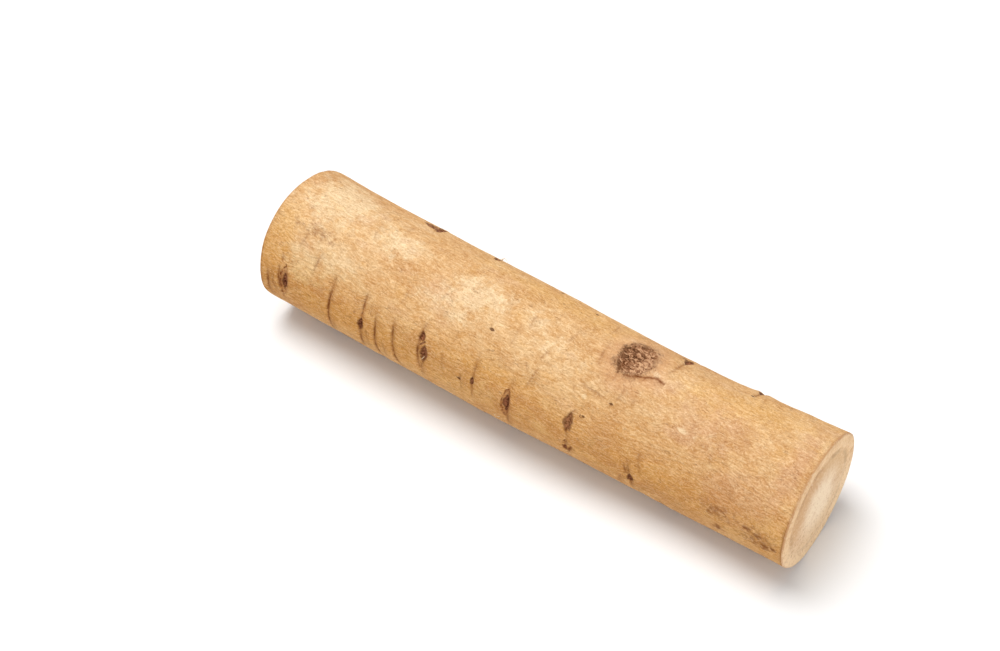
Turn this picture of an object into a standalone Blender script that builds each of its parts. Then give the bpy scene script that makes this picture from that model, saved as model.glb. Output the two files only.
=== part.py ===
"""Burdock root: one cut length of the taproot, lying on its side.

The root runs along X and rests on its underside at Z = 0. Its right end (+X) is cut
nearly square and its left end a little slanting. Angles are degrees round the root,
0 at its top and growing towards its front (-Y). Sizes are millimetres until the mesh
is written in metres.
"""

import math
from typing import NamedTuple

import bmesh
import bpy
import numpy as np
from mathutils import Matrix

METRES_PER_MM = 0.001

# Driving sizes of the root, with a value every STATION_STEP along it
FIRST_STATION = -80.0
STATION_STEP = 20.0
RADIUS = (18.7, 18.45, 18.5, 18.5, 18.3, 18.0, 17.8, 18.2, 18.7)
BOW = (0.25, -0.35, -0.7, -0.85, -0.9, -0.55, 0.1, 0.5, 0.65)
FLAT_DEPTH = 0.35

# The two knife cuts: place on the root's middle line, and slope towards +Y and +Z
LEFT_CUT_X = -76.95
LEFT_CUT_SLOPE = (0.112, -0.125)
RIGHT_CUT_X = 79.4
RIGHT_CUT_SLOPE = (-0.02, -0.025)
SLOPE_FADE = 40.0

# The cut face from bark to middle: share of the radius, and rise above the cut
CUT_SHARES = (0.0, 0.45, 0.74, 0.775, 0.81, 0.97, 1.0)
CUT_RISES = (0.12, 0.05, -0.05, -0.25, 0.0, 0.0, -0.35)

# Resolution of the solid
SIDES = 52
RING_COUNT = 82
CROWDING = 1.1
CROWD_REACH = 3.0

# Slow unevenness of the bark: height, lobes round the root, waves along it, start angle
LUMPS = (
    (0.20, 2, 0.6, 0.5),
    (0.14, 3, -1.3, 2.1),
    (0.10, 5, 2.2, 4.0),
    (0.07, 8, -3.1, 1.2),
)


class Crease(NamedTuple):
    """A fold that runs part of the way round the root."""

    x: float
    middle: float
    half_span: float
    lean: float
    bow: float
    depth: float


class Scar(NamedTuple):
    """A lens-shaped scar of a side root: its lips stand up and its core is sunk."""

    x: float
    angle: float
    width: float
    length: float
    lip: float
    depth: float


CREASE_WIDTH = 0.85
SHOULDER_PLACE = 2.1
SHOULDER_WIDTH = 1.5
SHOULDER_SHARE = 0.4

FRONT_CREASES = (
    Crease(-76.2, 92.0, 20.0, 0.6, -0.4, 0.30),
    Crease(-57.0, 84.0, 36.0, -0.2, -0.3, 0.45),
    Crease(-47.1, 82.0, 36.0, -0.2, 0.1, 0.40),
    Crease(-42.2, 94.0, 36.0, 0.6, -0.2, 0.45),
    Crease(-36.3, 88.0, 34.0, 1.1, -0.5, 0.45),
    Crease(-28.0, 74.0, 30.0, 0.4, -1.2, 0.35),
    Crease(-12.2, 74.0, 28.0, 0.1, 0.0, 0.30),
    Crease(-1.6, 86.0, 30.0, 0.1, 0.3, 0.35),
    Crease(16.2, 92.0, 24.0, 0.3, 0.2, 0.25),
    Crease(34.6, 92.0, 20.0, 1.2, 0.0, 0.30),
    Crease(33.4, -26.0, 18.0, -0.6, 0.5, 0.30),
    Crease(54.0, -48.0, 18.0, -0.2, 0.3, 0.30),
)

BACK_CREASES = (
    Crease(-70.5, -118.0, 34.0, 0.9, 0.5, 0.40),
    Crease(-57.6, -135.0, 30.0, -0.6, 0.4, 0.40),
    Crease(-46.5, 165.0, 26.0, 0.5, -0.5, 0.35),
    Crease(-42.8, -100.0, 26.0, 0.4, 0.6, 0.35),
    Crease(-27.0, -128.0, 38.0, -0.8, 0.3, 0.45),
    Crease(-11.5, -152.0, 30.0, 0.6, 0.6, 0.35),
    Crease(-2.4, 150.0, 26.0, -0.4, -0.4, 0.35),
    Crease(6.0, -108.0, 32.0, 0.8, 0.4, 0.45),
    Crease(17.5, -145.0, 32.0, -0.7, 0.4, 0.40),
    Crease(34.0, -132.0, 34.0, 0.5, 0.6, 0.45),
    Crease(44.0, 148.0, 28.0, 0.6, 0.4, 0.35),
    Crease(55.0, -140.0, 30.0, -0.4, 0.3, 0.40),
    Crease(68.0, 152.0, 26.0, 0.7, -0.3, 0.35),
)

FRONT_SCARS = (
    Scar(-71.4, 80.0, 2.6, 11.0, 0.30, 0.95),
    Scar(-46.9, 79.0, 1.8, 4.2, 0.15, 0.60),
    Scar(-28.6, 59.0, 2.0, 3.2, 0.15, 0.55),
    Scar(-27.1, 74.0, 2.4, 5.0, 0.25, 0.70),
    Scar(-12.3, 76.0, 1.5, 2.4, 0.10, 0.40),
    Scar(-1.8, 80.0, 2.8, 9.5, 0.25, 0.70),
    Scar(15.9, 67.0, 2.8, 5.2, 0.15, 0.30),
    Scar(16.5, 97.0, 1.8, 3.0, 0.12, 0.45),
    Scar(35.1, 96.0, 1.8, 3.4, 0.12, 0.60),
    Scar(34.2, -40.0, 2.2, 3.4, 0.12, 0.55),
    Scar(54.2, -52.0, 2.2, 5.0, 0.15, 0.55),
    Scar(-43.5, -45.0, 3.6, 5.2, 0.20, 0.60),
    Scar(-24.6, -47.0, 1.9, 3.2, 0.15, 0.50),
)

BACK_SCARS = (
    Scar(-70.0, -132.0, 2.6, 8.0, 0.25, 0.75),
    Scar(-57.8, -112.0, 2.2, 5.0, 0.20, 0.60),
    Scar(-27.2, -118.0, 2.8, 9.0, 0.30, 0.80),
    Scar(-10.8, -140.0, 2.2, 5.0, 0.20, 0.60),
    Scar(-2.6, 142.0, 2.2, 4.6, 0.20, 0.55),
    Scar(6.2, -96.0, 2.4, 6.0, 0.20, 0.60),
    Scar(34.2, -122.0, 2.8, 8.6, 0.30, 0.80),
    Scar(44.3, 140.0, 2.4, 5.4, 0.20, 0.60),
    Scar(55.2, -128.0, 2.2, 5.0, 0.20, 0.60),
)

# Healed stumps of thick side roots: a rough, shallow plate with a raised rim
KNOT_LIP = 0.30
KNOT_DEPTH = 0.25
KNOT_ROUGHNESS = 0.18
KNOTS = (
    Scar(24.2, -9.0, 9.6, 10.4, KNOT_LIP, KNOT_DEPTH),
    Scar(-14.5, -128.0, 7.0, 8.0, KNOT_LIP, KNOT_DEPTH),
)

BARK_COLOUR = (0.70, 0.47, 0.24, 1.0)
BARK_ROUGHNESS = 0.75
SMOOTH_ANGLE = math.radians(35.0)


def clear_scene():
    """Remove every object that the scene starts with."""
    for item in list(bpy.data.objects):
        bpy.data.objects.remove(item, do_unlink=True)


def read_along(x, values):
    """Read a size at x on a smooth curve through its values at the stations."""
    place = (np.asarray(x, dtype=float) - FIRST_STATION) / STATION_STEP
    index = np.clip(np.floor(place).astype(int), 0, len(values) - 2)
    t = np.clip(place - index, 0.0, 1.0)
    padded = np.array((values[0],) + tuple(values) + (values[-1],))
    before, here, there, after = (padded[index + step] for step in range(4))
    slope_here = (there - before) / 2.0
    slope_there = (after - here) / 2.0
    rise = there - here
    curve = 3.0 * rise - 2.0 * slope_here - slope_there
    twist = slope_here + slope_there - 2.0 * rise
    return here + t * (slope_here + t * (curve + t * twist))


def turn_between(angle, middle):
    """Signed degrees from middle to angle, the short way round."""
    return (angle - middle + 180.0) % 360.0 - 180.0


def lump_height(x, angle):
    """Slow unevenness of the bark."""
    waves = 2.0 * math.pi * x / (RIGHT_CUT_X - LEFT_CUT_X)
    height = np.zeros_like(x)
    for size, lobes, turns, start in LUMPS:
        height += size * np.cos(lobes * np.radians(angle) + turns * waves + start)
    return height


def crease_height(x, angle, crease):
    """A sunk line with a soft shoulder on each side, fading out at its ends."""
    along = np.clip(turn_between(angle, crease.middle) / crease.half_span, -1.0, 1.0)
    line = crease.x + crease.lean * along + crease.bow * (1.0 - along ** 2)
    gap = np.abs(x - line)
    groove = np.exp(-((gap / CREASE_WIDTH) ** 2))
    shoulder = np.exp(-(((gap - SHOULDER_PLACE) / SHOULDER_WIDTH) ** 2))
    return crease.depth * (1.0 - along ** 4) * (SHOULDER_SHARE * shoulder - groove)


def scar_distance(x, angle, scar):
    """Distance from a scar's middle, 1 at its outline."""
    across = (x - scar.x) / (scar.width / 2.0)
    arc = np.radians(turn_between(angle, scar.angle)) * read_along(x, RADIUS)
    return np.hypot(across, arc / (scar.length / 2.0))


def scar_height(x, angle, scar):
    """Raised lips round a sunk core."""
    distance = scar_distance(x, angle, scar)
    lips = np.exp(-(((distance - 1.15) / 0.45) ** 2))
    core = np.exp(-((distance / 0.75) ** 2))
    return scar.lip * lips - scar.depth * core


def knot_height(x, angle, knot):
    """A shallow, rough plate with a raised rim."""
    distance = scar_distance(x, angle, knot)
    rim = np.exp(-(((distance - 1.05) / 0.22) ** 2))
    plate = 1.0 / (1.0 + np.exp((distance - 0.9) / 0.08))
    arc = np.radians(angle) * read_along(x, RADIUS)
    rough = np.sin(1.9 * x + 0.7 * arc) * np.sin(1.6 * arc - 0.5 * x)
    return knot.lip * rim + plate * (KNOT_ROUGHNESS * rough - knot.depth)


def bark_relief(x, angle):
    """Everything that stands out of the plain section or is sunk in it."""
    height = lump_height(x, angle)
    for crease in FRONT_CREASES + BACK_CREASES:
        height += crease_height(x, angle, crease)
    for scar in FRONT_SCARS + BACK_SCARS:
        height += scar_height(x, angle, scar)
    for knot in KNOTS:
        height += knot_height(x, angle, knot)
    return height


def slope_shift(x, off_y, off_z):
    """How far a point moves along the root so that the last rings lie on the cuts."""
    near_left = np.clip(1.0 - (x - LEFT_CUT_X) / SLOPE_FADE, 0.0, 1.0)
    near_right = np.clip(1.0 - (RIGHT_CUT_X - x) / SLOPE_FADE, 0.0, 1.0)
    left = LEFT_CUT_SLOPE[0] * off_y + LEFT_CUT_SLOPE[1] * off_z
    right = RIGHT_CUT_SLOPE[0] * off_y + RIGHT_CUT_SLOPE[1] * off_z
    return near_left * left + near_right * right


def cut_rise(x, share):
    """Outward rise of the cut faces, only on the points that lie on them."""
    rise = np.interp(share, CUT_SHARES, CUT_RISES)
    at_left = np.isclose(x, LEFT_CUT_X, atol=1e-3)
    at_right = np.isclose(x, RIGHT_CUT_X, atol=1e-3)
    return rise * at_right - rise * at_left


def root_points(x, angle, share):
    """Move the points of the plain roller to the root's own shape."""
    radius = read_along(x, RADIUS)
    across = -np.sin(np.radians(angle)) * share
    upward = np.cos(np.radians(angle)) * share
    true_x = x + slope_shift(x, across * radius, upward * radius)
    reach = read_along(true_x, RADIUS) + bark_relief(true_x, angle)
    y = read_along(true_x, BOW) + across * reach
    z = read_along(true_x, RADIUS) - FLAT_DEPTH + upward * reach
    return np.stack((true_x + cut_rise(x, share), y, np.maximum(z, 0.0)), axis=1)


def ring_places():
    """Places of the rings along the root, closer together by creases and scars."""
    fine = np.linspace(LEFT_CUT_X, RIGHT_CUT_X, 3000)
    crowd = np.zeros_like(fine)
    for mark in FRONT_CREASES + BACK_CREASES + FRONT_SCARS + BACK_SCARS + KNOTS:
        crowd = np.maximum(crowd, np.exp(-(((fine - mark.x) / CROWD_REACH) ** 2)))
    count = np.cumsum(1.0 + CROWDING * crowd)
    count = (count - count[0]) / (count[-1] - count[0])
    return np.interp(np.linspace(0.0, 1.0, RING_COUNT), count, fine)


def draw_roller(bm):
    """Draw an open roller of radius 1 along X, one ring of edges at each place."""
    places = ring_places()
    half_step = Matrix.Rotation(math.pi / SIDES, 4, "Z")
    face_along_x = Matrix.Rotation(math.pi / 2.0, 4, "Y") @ half_step
    bmesh.ops.create_circle(bm, segments=SIDES, radius=1.0, matrix=face_along_x)
    bmesh.ops.translate(bm, verts=bm.verts[:], vec=(places[0], 0.0, 0.0))
    edges = bm.edges[:]
    for here, there in zip(places, places[1:]):
        made = bmesh.ops.extrude_edge_only(bm, edges=edges)["geom"]
        verts = {item for item in made if isinstance(item, bmesh.types.BMVert)}
        edges = [item for item in made if isinstance(item, bmesh.types.BMEdge)]
        edges = [edge for edge in edges if set(edge.verts) <= verts]
        bmesh.ops.translate(bm, verts=list(verts), vec=(there - here, 0.0, 0.0))


def close_ends(bm):
    """Fill both cuts and inset a ring at each step of the cut face."""
    open_edges = [edge for edge in bm.edges if edge.is_boundary]
    caps = bmesh.ops.holes_fill(bm, edges=open_edges, sides=SIDES)["faces"]
    rings = CUT_SHARES[:0:-1]
    for outer, inner in zip(rings, rings[1:]):
        bmesh.ops.inset_individual(bm, faces=caps, thickness=outer - inner,
                                   use_even_offset=False)
    bmesh.ops.poke(bm, faces=caps)


def shape_root(bm):
    """Give the roller the root's size, relief and cuts, in metres."""
    plain = np.array([vert.co[:] for vert in bm.verts])
    share = np.minimum(np.hypot(plain[:, 1], plain[:, 2]), 1.0)
    angle = np.degrees(np.arctan2(-plain[:, 1], plain[:, 2]))
    points = root_points(plain[:, 0], angle, share) * METRES_PER_MM
    for vert, point in zip(bm.verts, points):
        vert.co = point


def bark_material():
    """Dry ochre bark."""
    material = bpy.data.materials.new("burdock_bark")
    material.use_nodes = True
    shader = material.node_tree.nodes["Principled BSDF"]
    shader.inputs["Base Color"].default_value = BARK_COLOUR
    shader.inputs["Roughness"].default_value = BARK_ROUGHNESS
    shader.inputs["Metallic"].default_value = 0.0
    return material


def build_root():
    """Make the root as one closed solid."""
    bm = bmesh.new()
    draw_roller(bm)
    close_ends(bm)
    shape_root(bm)
    bmesh.ops.triangulate(bm, faces=bm.faces[:])
    bmesh.ops.recalc_face_normals(bm, faces=bm.faces[:])
    mesh = bpy.data.meshes.new("burdock_root")
    bm.to_mesh(mesh)
    bm.free()
    mesh.shade_smooth()
    mesh.set_sharp_from_angle(angle=SMOOTH_ANGLE)
    root = bpy.data.objects.new("burdock_root", mesh)
    root.data.materials.append(bark_material())
    bpy.context.scene.collection.objects.link(root)
    return root


clear_scene()
build_root()
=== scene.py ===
"""Looks of a burdock root: one cut length of the taproot, lying on its side.

The root runs along X and rests at Z = 0. The classes of its form hold millimetres and
degrees, angle 0 being the root's top and growing towards its front (-Y). Meshes are
written in metres.
"""

import logging
import math
import random
from dataclasses import dataclass, field
from enum import Enum
from typing import Iterable, Sequence

import bmesh
import bpy
import numpy as np
from mathutils import Matrix, Vector, noise


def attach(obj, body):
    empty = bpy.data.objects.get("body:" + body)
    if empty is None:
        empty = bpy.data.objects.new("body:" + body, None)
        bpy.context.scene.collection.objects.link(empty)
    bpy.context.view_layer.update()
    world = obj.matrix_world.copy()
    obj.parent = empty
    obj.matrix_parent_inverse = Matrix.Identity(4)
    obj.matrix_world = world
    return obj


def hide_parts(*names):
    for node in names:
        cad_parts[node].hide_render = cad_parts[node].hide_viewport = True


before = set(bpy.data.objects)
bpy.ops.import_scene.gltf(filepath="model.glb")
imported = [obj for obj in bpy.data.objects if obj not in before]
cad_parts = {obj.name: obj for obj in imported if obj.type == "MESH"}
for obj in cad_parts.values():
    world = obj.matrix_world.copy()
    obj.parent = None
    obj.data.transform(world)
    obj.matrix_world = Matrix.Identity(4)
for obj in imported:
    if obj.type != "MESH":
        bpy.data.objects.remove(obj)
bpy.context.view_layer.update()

Array = np.ndarray
Colour = tuple[float, float, float, float]
Triple = tuple[float, float, float]
Pair = tuple[float, float]
Socket = bpy.types.NodeSocket

MM = 0.001
NODE = "burdock_root"
BODY = "root"

# Sockets of a Mix node that mixes colours
MIX_SHARE, MIX_UNDER, MIX_OVER, MIX_RESULT = 0, 6, 7, 2

log = logging.getLogger("burdock")


def srgb(red: int, green: int, blue: int) -> Colour:
    """Turn a paint-chart colour into the shader's linear one.

    Args:
        red: Red, 0 to 255.
        green: Green, 0 to 255.
        blue: Blue, 0 to 255.

    Returns:
        Linear red, green, blue and an alpha of 1.
    """
    parts = [value / 255.0 for value in (red, green, blue)]
    linear = [p / 12.92 if p <= 0.04045 else ((p + 0.055) / 1.055) ** 2.4 for p in parts]
    return (linear[0], linear[1], linear[2], 1.0)


def turn_between(angle: Array, middle: float | Array) -> Array:
    """Measure the signed turn from one angle to others, the short way round.

    Args:
        angle: Angles in degrees.
        middle: The angle to measure from, in degrees.

    Returns:
        Degrees from -180 to 180.
    """
    return (angle - middle + 180.0) % 360.0 - 180.0


def arc_between(angle: Array, middle: float | Array, arc_mm: Array) -> Array:
    """Measure the same turn as an arc of the given radius, in millimetres."""
    return np.radians(turn_between(angle, middle)) * arc_mm


@dataclass(frozen=True)
class Crease:
    """A fold of the bark that runs part of the way round the root.

    Attributes:
        x: Place along the root.
        middle: Angle of its middle.
        half_span: Degrees from its middle to each end.
        lean: How far its far end lies along the root.
        bow: How far its middle bulges along the root.
        depth: Depth of its groove.
        ink: Strength of its dark line.
    """

    x: float
    middle: float
    half_span: float
    lean: float
    bow: float
    depth: float
    ink: float = 0.9

    def along(self, angle: Array) -> Array:
        """Place along the fold, -1 and 1 at its ends."""
        return np.clip(turn_between(angle, self.middle) / self.half_span, -1.0, 1.0)

    def trace(self, x: Array, angle: Array, arc_mm: Array) -> tuple[Array, Array]:
        """Measure the fold's signed distance and strength at some points.

        Args:
            x: Places along the root.
            angle: Angles round the root.
            arc_mm: Radius of the root at the points, unused by a fold round it.

        Returns:
            Distance from the fold's line, and its strength from 0 to 1.
        """
        along = self.along(angle)
        line = self.x + self.lean * along + self.bow * (1.0 - along ** 2)
        return x - line, 1.0 - along ** 4


@dataclass(frozen=True)
class Crack:
    """A thin crack that runs along the root.

    Attributes:
        x: Place of its middle along the root.
        half_length: Length from its middle to each end.
        angle: Angle of its middle.
        lean: Degrees that its far end is turned.
        bow: Degrees that its middle is turned.
        depth: Depth of its groove.
        ink: Strength of its dark line.
    """

    x: float
    half_length: float
    angle: float
    lean: float
    bow: float
    depth: float
    ink: float = 1.0

    def trace(self, x: Array, angle: Array, arc_mm: Array) -> tuple[Array, Array]:
        """Measure the crack's signed distance and strength at some points.

        Args:
            x: Places along the root.
            angle: Angles round the root.
            arc_mm: Radius of the root at the points.

        Returns:
            Distance from the crack's line, and its strength from 0 to 1.
        """
        along = np.clip((x - self.x) / self.half_length, -1.0, 1.0)
        line = self.angle + self.lean * along + self.bow * (1.0 - along ** 2)
        return arc_between(angle, line, arc_mm), 1.0 - along ** 4


@dataclass(frozen=True)
class ScarLook:
    """How a kind of scar is coloured.

    Attributes:
        core: Share of its outline that the dark core fills.
        outline: Strength of the fine dark line round it.
        darkness: Strength of the core's colour.
    """

    core: float
    outline: float
    darkness: float


class ScarKind(Enum):
    """What a side root left on the bark."""

    EYE = ScarLook(0.62, 1.0, 1.0)
    SLIT = ScarLook(0.95, 0.45, 0.95)
    PLUG = ScarLook(1.0, 0.3, 0.85)
    PIT = ScarLook(0.95, 0.0, 0.8)


@dataclass(frozen=True)
class Scar:
    """A scar of a side root, drawn as a lens with its points round the root.

    Attributes:
        x: Place along the root.
        angle: Angle of its middle.
        width: Size along the root.
        length: Size round the root.
        lip: Height of its lips.
        depth: Depth of its core.
        kind: How it is coloured.
    """

    x: float
    angle: float
    width: float
    length: float
    lip: float
    depth: float
    kind: ScarKind = ScarKind.EYE

    def place(self, x: Array, angle: Array, arc_mm: Array) -> tuple[Array, Array]:
        """Read the scar's own coordinates at some points.

        Args:
            x: Places along the root.
            angle: Angles round the root.
            arc_mm: Radius of the root at the points.

        Returns:
            Distance across and along the scar, each 1 at its outline.
        """
        across = (x - self.x) / (self.width / 2.0)
        return across, arc_between(angle, self.angle, arc_mm) / (self.length / 2.0)


@dataclass(frozen=True)
class Patch:
    """A soft-edged patch of another tone on the bark.

    Attributes:
        x: Place along the root.
        angle: Angle of its middle.
        length: Size along the root.
        breadth: Size round the root.
        force: Strength in its middle.
    """

    x: float
    angle: float
    length: float
    breadth: float
    force: float

    def strength(self, x: Array, angle: Array, arc_mm: Array) -> Array:
        """Read the patch's strength at some points.

        Args:
            x: Places along the root.
            angle: Angles round the root.
            arc_mm: Radius of the root at the points.

        Returns:
            Strength, fading to 0 well outside the patch.
        """
        along = (x - self.x) / (self.length / 2.0)
        across = arc_between(angle, self.angle, arc_mm) / (self.breadth / 2.0)
        return self.force * np.exp(-(along ** 2) - across ** 2)


FRONT_CREASES = (
    Crease(-76.2, 92.0, 20.0, 0.6, -0.4, 0.30),
    Crease(-57.0, 84.0, 36.0, -0.2, -0.3, 0.45),
    Crease(-47.1, 82.0, 36.0, -0.2, 0.1, 0.40),
    Crease(-42.2, 94.0, 36.0, 0.6, -0.2, 0.45),
    Crease(-36.3, 88.0, 34.0, 1.1, -0.5, 0.45),
    Crease(-28.0, 74.0, 30.0, 0.4, -1.2, 0.35, 0.85),
    Crease(-12.2, 74.0, 28.0, 0.1, 0.0, 0.30, 0.48),
    Crease(-1.6, 86.0, 30.0, 0.1, 0.3, 0.35, 0.55),
    Crease(16.2, 92.0, 24.0, 0.3, 0.2, 0.25, 0.45),
    Crease(34.6, 92.0, 20.0, 1.2, 0.0, 0.30, 0.55),
    Crease(33.4, -26.0, 18.0, -0.6, 0.5, 0.30, 0.4),
    Crease(54.0, -48.0, 18.0, -0.2, 0.3, 0.30, 0.4),
)

BACK_CREASES = (
    Crease(-70.5, -118.0, 34.0, 0.9, 0.5, 0.40),
    Crease(-57.6, -135.0, 30.0, -0.6, 0.4, 0.40),
    Crease(-46.5, 165.0, 26.0, 0.5, -0.5, 0.35),
    Crease(-42.8, -100.0, 26.0, 0.4, 0.6, 0.35),
    Crease(-27.0, -128.0, 38.0, -0.8, 0.3, 0.45),
    Crease(-11.5, -152.0, 30.0, 0.6, 0.6, 0.35),
    Crease(-2.4, 150.0, 26.0, -0.4, -0.4, 0.35),
    Crease(6.0, -108.0, 32.0, 0.8, 0.4, 0.45),
    Crease(17.5, -145.0, 32.0, -0.7, 0.4, 0.40),
    Crease(34.0, -132.0, 34.0, 0.5, 0.6, 0.45),
    Crease(44.0, 148.0, 28.0, 0.6, 0.4, 0.35),
    Crease(55.0, -140.0, 30.0, -0.4, 0.3, 0.40),
    Crease(68.0, 152.0, 26.0, 0.7, -0.3, 0.35),
)

FRONT_SCARS = (
    Scar(-71.4, 80.0, 2.6, 11.0, 0.30, 0.95, ScarKind.EYE),
    Scar(-46.9, 79.0, 1.8, 4.2, 0.15, 0.60, ScarKind.SLIT),
    Scar(-28.6, 59.0, 2.0, 3.2, 0.15, 0.55, ScarKind.SLIT),
    Scar(-27.1, 74.0, 2.2, 6.2, 0.25, 0.70, ScarKind.SLIT),
    Scar(-12.3, 76.0, 1.1, 3.0, 0.10, 0.40, ScarKind.SLIT),
    Scar(-1.8, 80.0, 2.5, 9.0, 0.25, 0.70, ScarKind.EYE),
    Scar(15.9, 67.0, 2.5, 6.4, 0.15, 0.30, ScarKind.PLUG),
    Scar(16.3, 96.0, 0.9, 3.0, 0.12, 0.35, ScarKind.SLIT),
    Scar(35.1, 96.0, 1.8, 3.4, 0.12, 0.60, ScarKind.SLIT),
    Scar(34.2, -40.5, 2.2, 5.0, 0.12, 0.55, ScarKind.SLIT),
    Scar(54.2, -52.0, 2.2, 5.0, 0.15, 0.55, ScarKind.SLIT),
    Scar(-44.4, -43.5, 3.8, 3.4, 0.18, 0.50, ScarKind.PLUG),
    Scar(-42.0, -46.5, 2.0, 7.0, 0.18, 0.55, ScarKind.SLIT),
    Scar(-24.6, -47.5, 1.7, 4.6, 0.15, 0.50, ScarKind.SLIT),
)

BACK_SCARS = (
    Scar(-70.0, -132.0, 2.6, 8.0, 0.25, 0.75, ScarKind.EYE),
    Scar(-57.8, -112.0, 2.2, 5.0, 0.20, 0.60, ScarKind.SLIT),
    Scar(-27.2, -118.0, 2.8, 9.0, 0.30, 0.80, ScarKind.EYE),
    Scar(-10.8, -140.0, 2.2, 5.0, 0.20, 0.60, ScarKind.SLIT),
    Scar(-2.6, 142.0, 2.2, 4.6, 0.20, 0.55, ScarKind.SLIT),
    Scar(6.2, -96.0, 2.4, 6.0, 0.20, 0.60, ScarKind.EYE),
    Scar(34.2, -122.0, 2.8, 8.6, 0.30, 0.80, ScarKind.EYE),
    Scar(44.3, 140.0, 2.4, 5.4, 0.20, 0.60, ScarKind.PLUG),
    Scar(55.2, -128.0, 2.2, 5.0, 0.20, 0.60, ScarKind.SLIT),
)

KNOTS = (
    Scar(24.2, -9.0, 9.6, 10.4, 0.30, 0.25),
    Scar(-14.5, -128.0, 7.0, 8.0, 0.30, 0.25),
)

KNOT_CRACKS = (
    Crack(27.2, 4.3, 5.2, -5.8, 0.4, 0.30, 1.05),
    Crack(32.4, 1.9, 0.6, 1.2, -0.4, 0.25, 0.85),
    Crack(26.0, 3.6, -20.0, 9.0, -6.0, 0.15, 0.6),
    Crack(18.6, 4.4, 32.3, 1.5, 0.6, 0.08, 0.38),
    Crack(-15.0, 4.0, -115.0, 4.0, 2.0, 0.25),
)

FINE_LINES = (
    Crease(-72.9, 78.0, 13.0, 0.5, -0.4, 0.30, 1.0),
    Crease(-74.6, 84.0, 12.0, 0.5, -0.3, 0.12, 0.5),
    Crease(-73.2, 58.0, 5.0, 0.3, 0.0, 0.12, 0.5),
    Crease(-1.7, 62.0, 9.0, -0.3, 0.0, 0.12, 0.45),
    Crease(-27.3, 93.0, 12.0, -0.3, -0.5, 0.15, 0.6),
    Crease(-15.9, 78.0, 5.0, 0.1, 0.0, 0.12, 0.6),
    Crease(-55.6, 96.0, 14.0, 0.3, -0.2, 0.12, 0.4),
    Crease(-44.9, 92.0, 14.0, 0.2, 0.2, 0.12, 0.4),
    Crease(-39.3, 96.0, 12.0, 0.4, -0.2, 0.12, 0.35),
    Crease(33.1, 86.0, 9.0, 0.7, 0.2, 0.15, 0.6),
    Crease(31.6, 106.0, 11.0, -0.8, 0.0, 0.12, 0.5),
    Crease(16.3, 57.0, 4.0, -0.4, 0.0, 0.12, 0.7),
    Crease(16.0, 98.5, 6.0, 0.6, 0.0, 0.15, 0.9),
    Crease(17.4, 96.5, 8.0, -0.8, 0.0, 0.15, 0.9),
    Crease(-57.0, -118.0, 22.0, 0.5, 0.3, 0.16, 0.6),
    Crease(36.2, -120.0, 16.0, 0.5, 0.3, 0.16, 0.6),
)

# Pinpricks in the bark that the eye picks out: place, angle and size
PINPRICKS = (
    (-12.1, 27.0, 1.1),
    (-4.6, -47.0, 0.9),
    (7.1, -38.0, 0.9),
    (24.6, 36.0, 0.9),
    (19.2, 56.0, 0.8),
    (-16.1, 80.0, 0.9),
    (32.1, -45.0, 1.2),
    (53.7, -32.0, 0.9),
)


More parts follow.
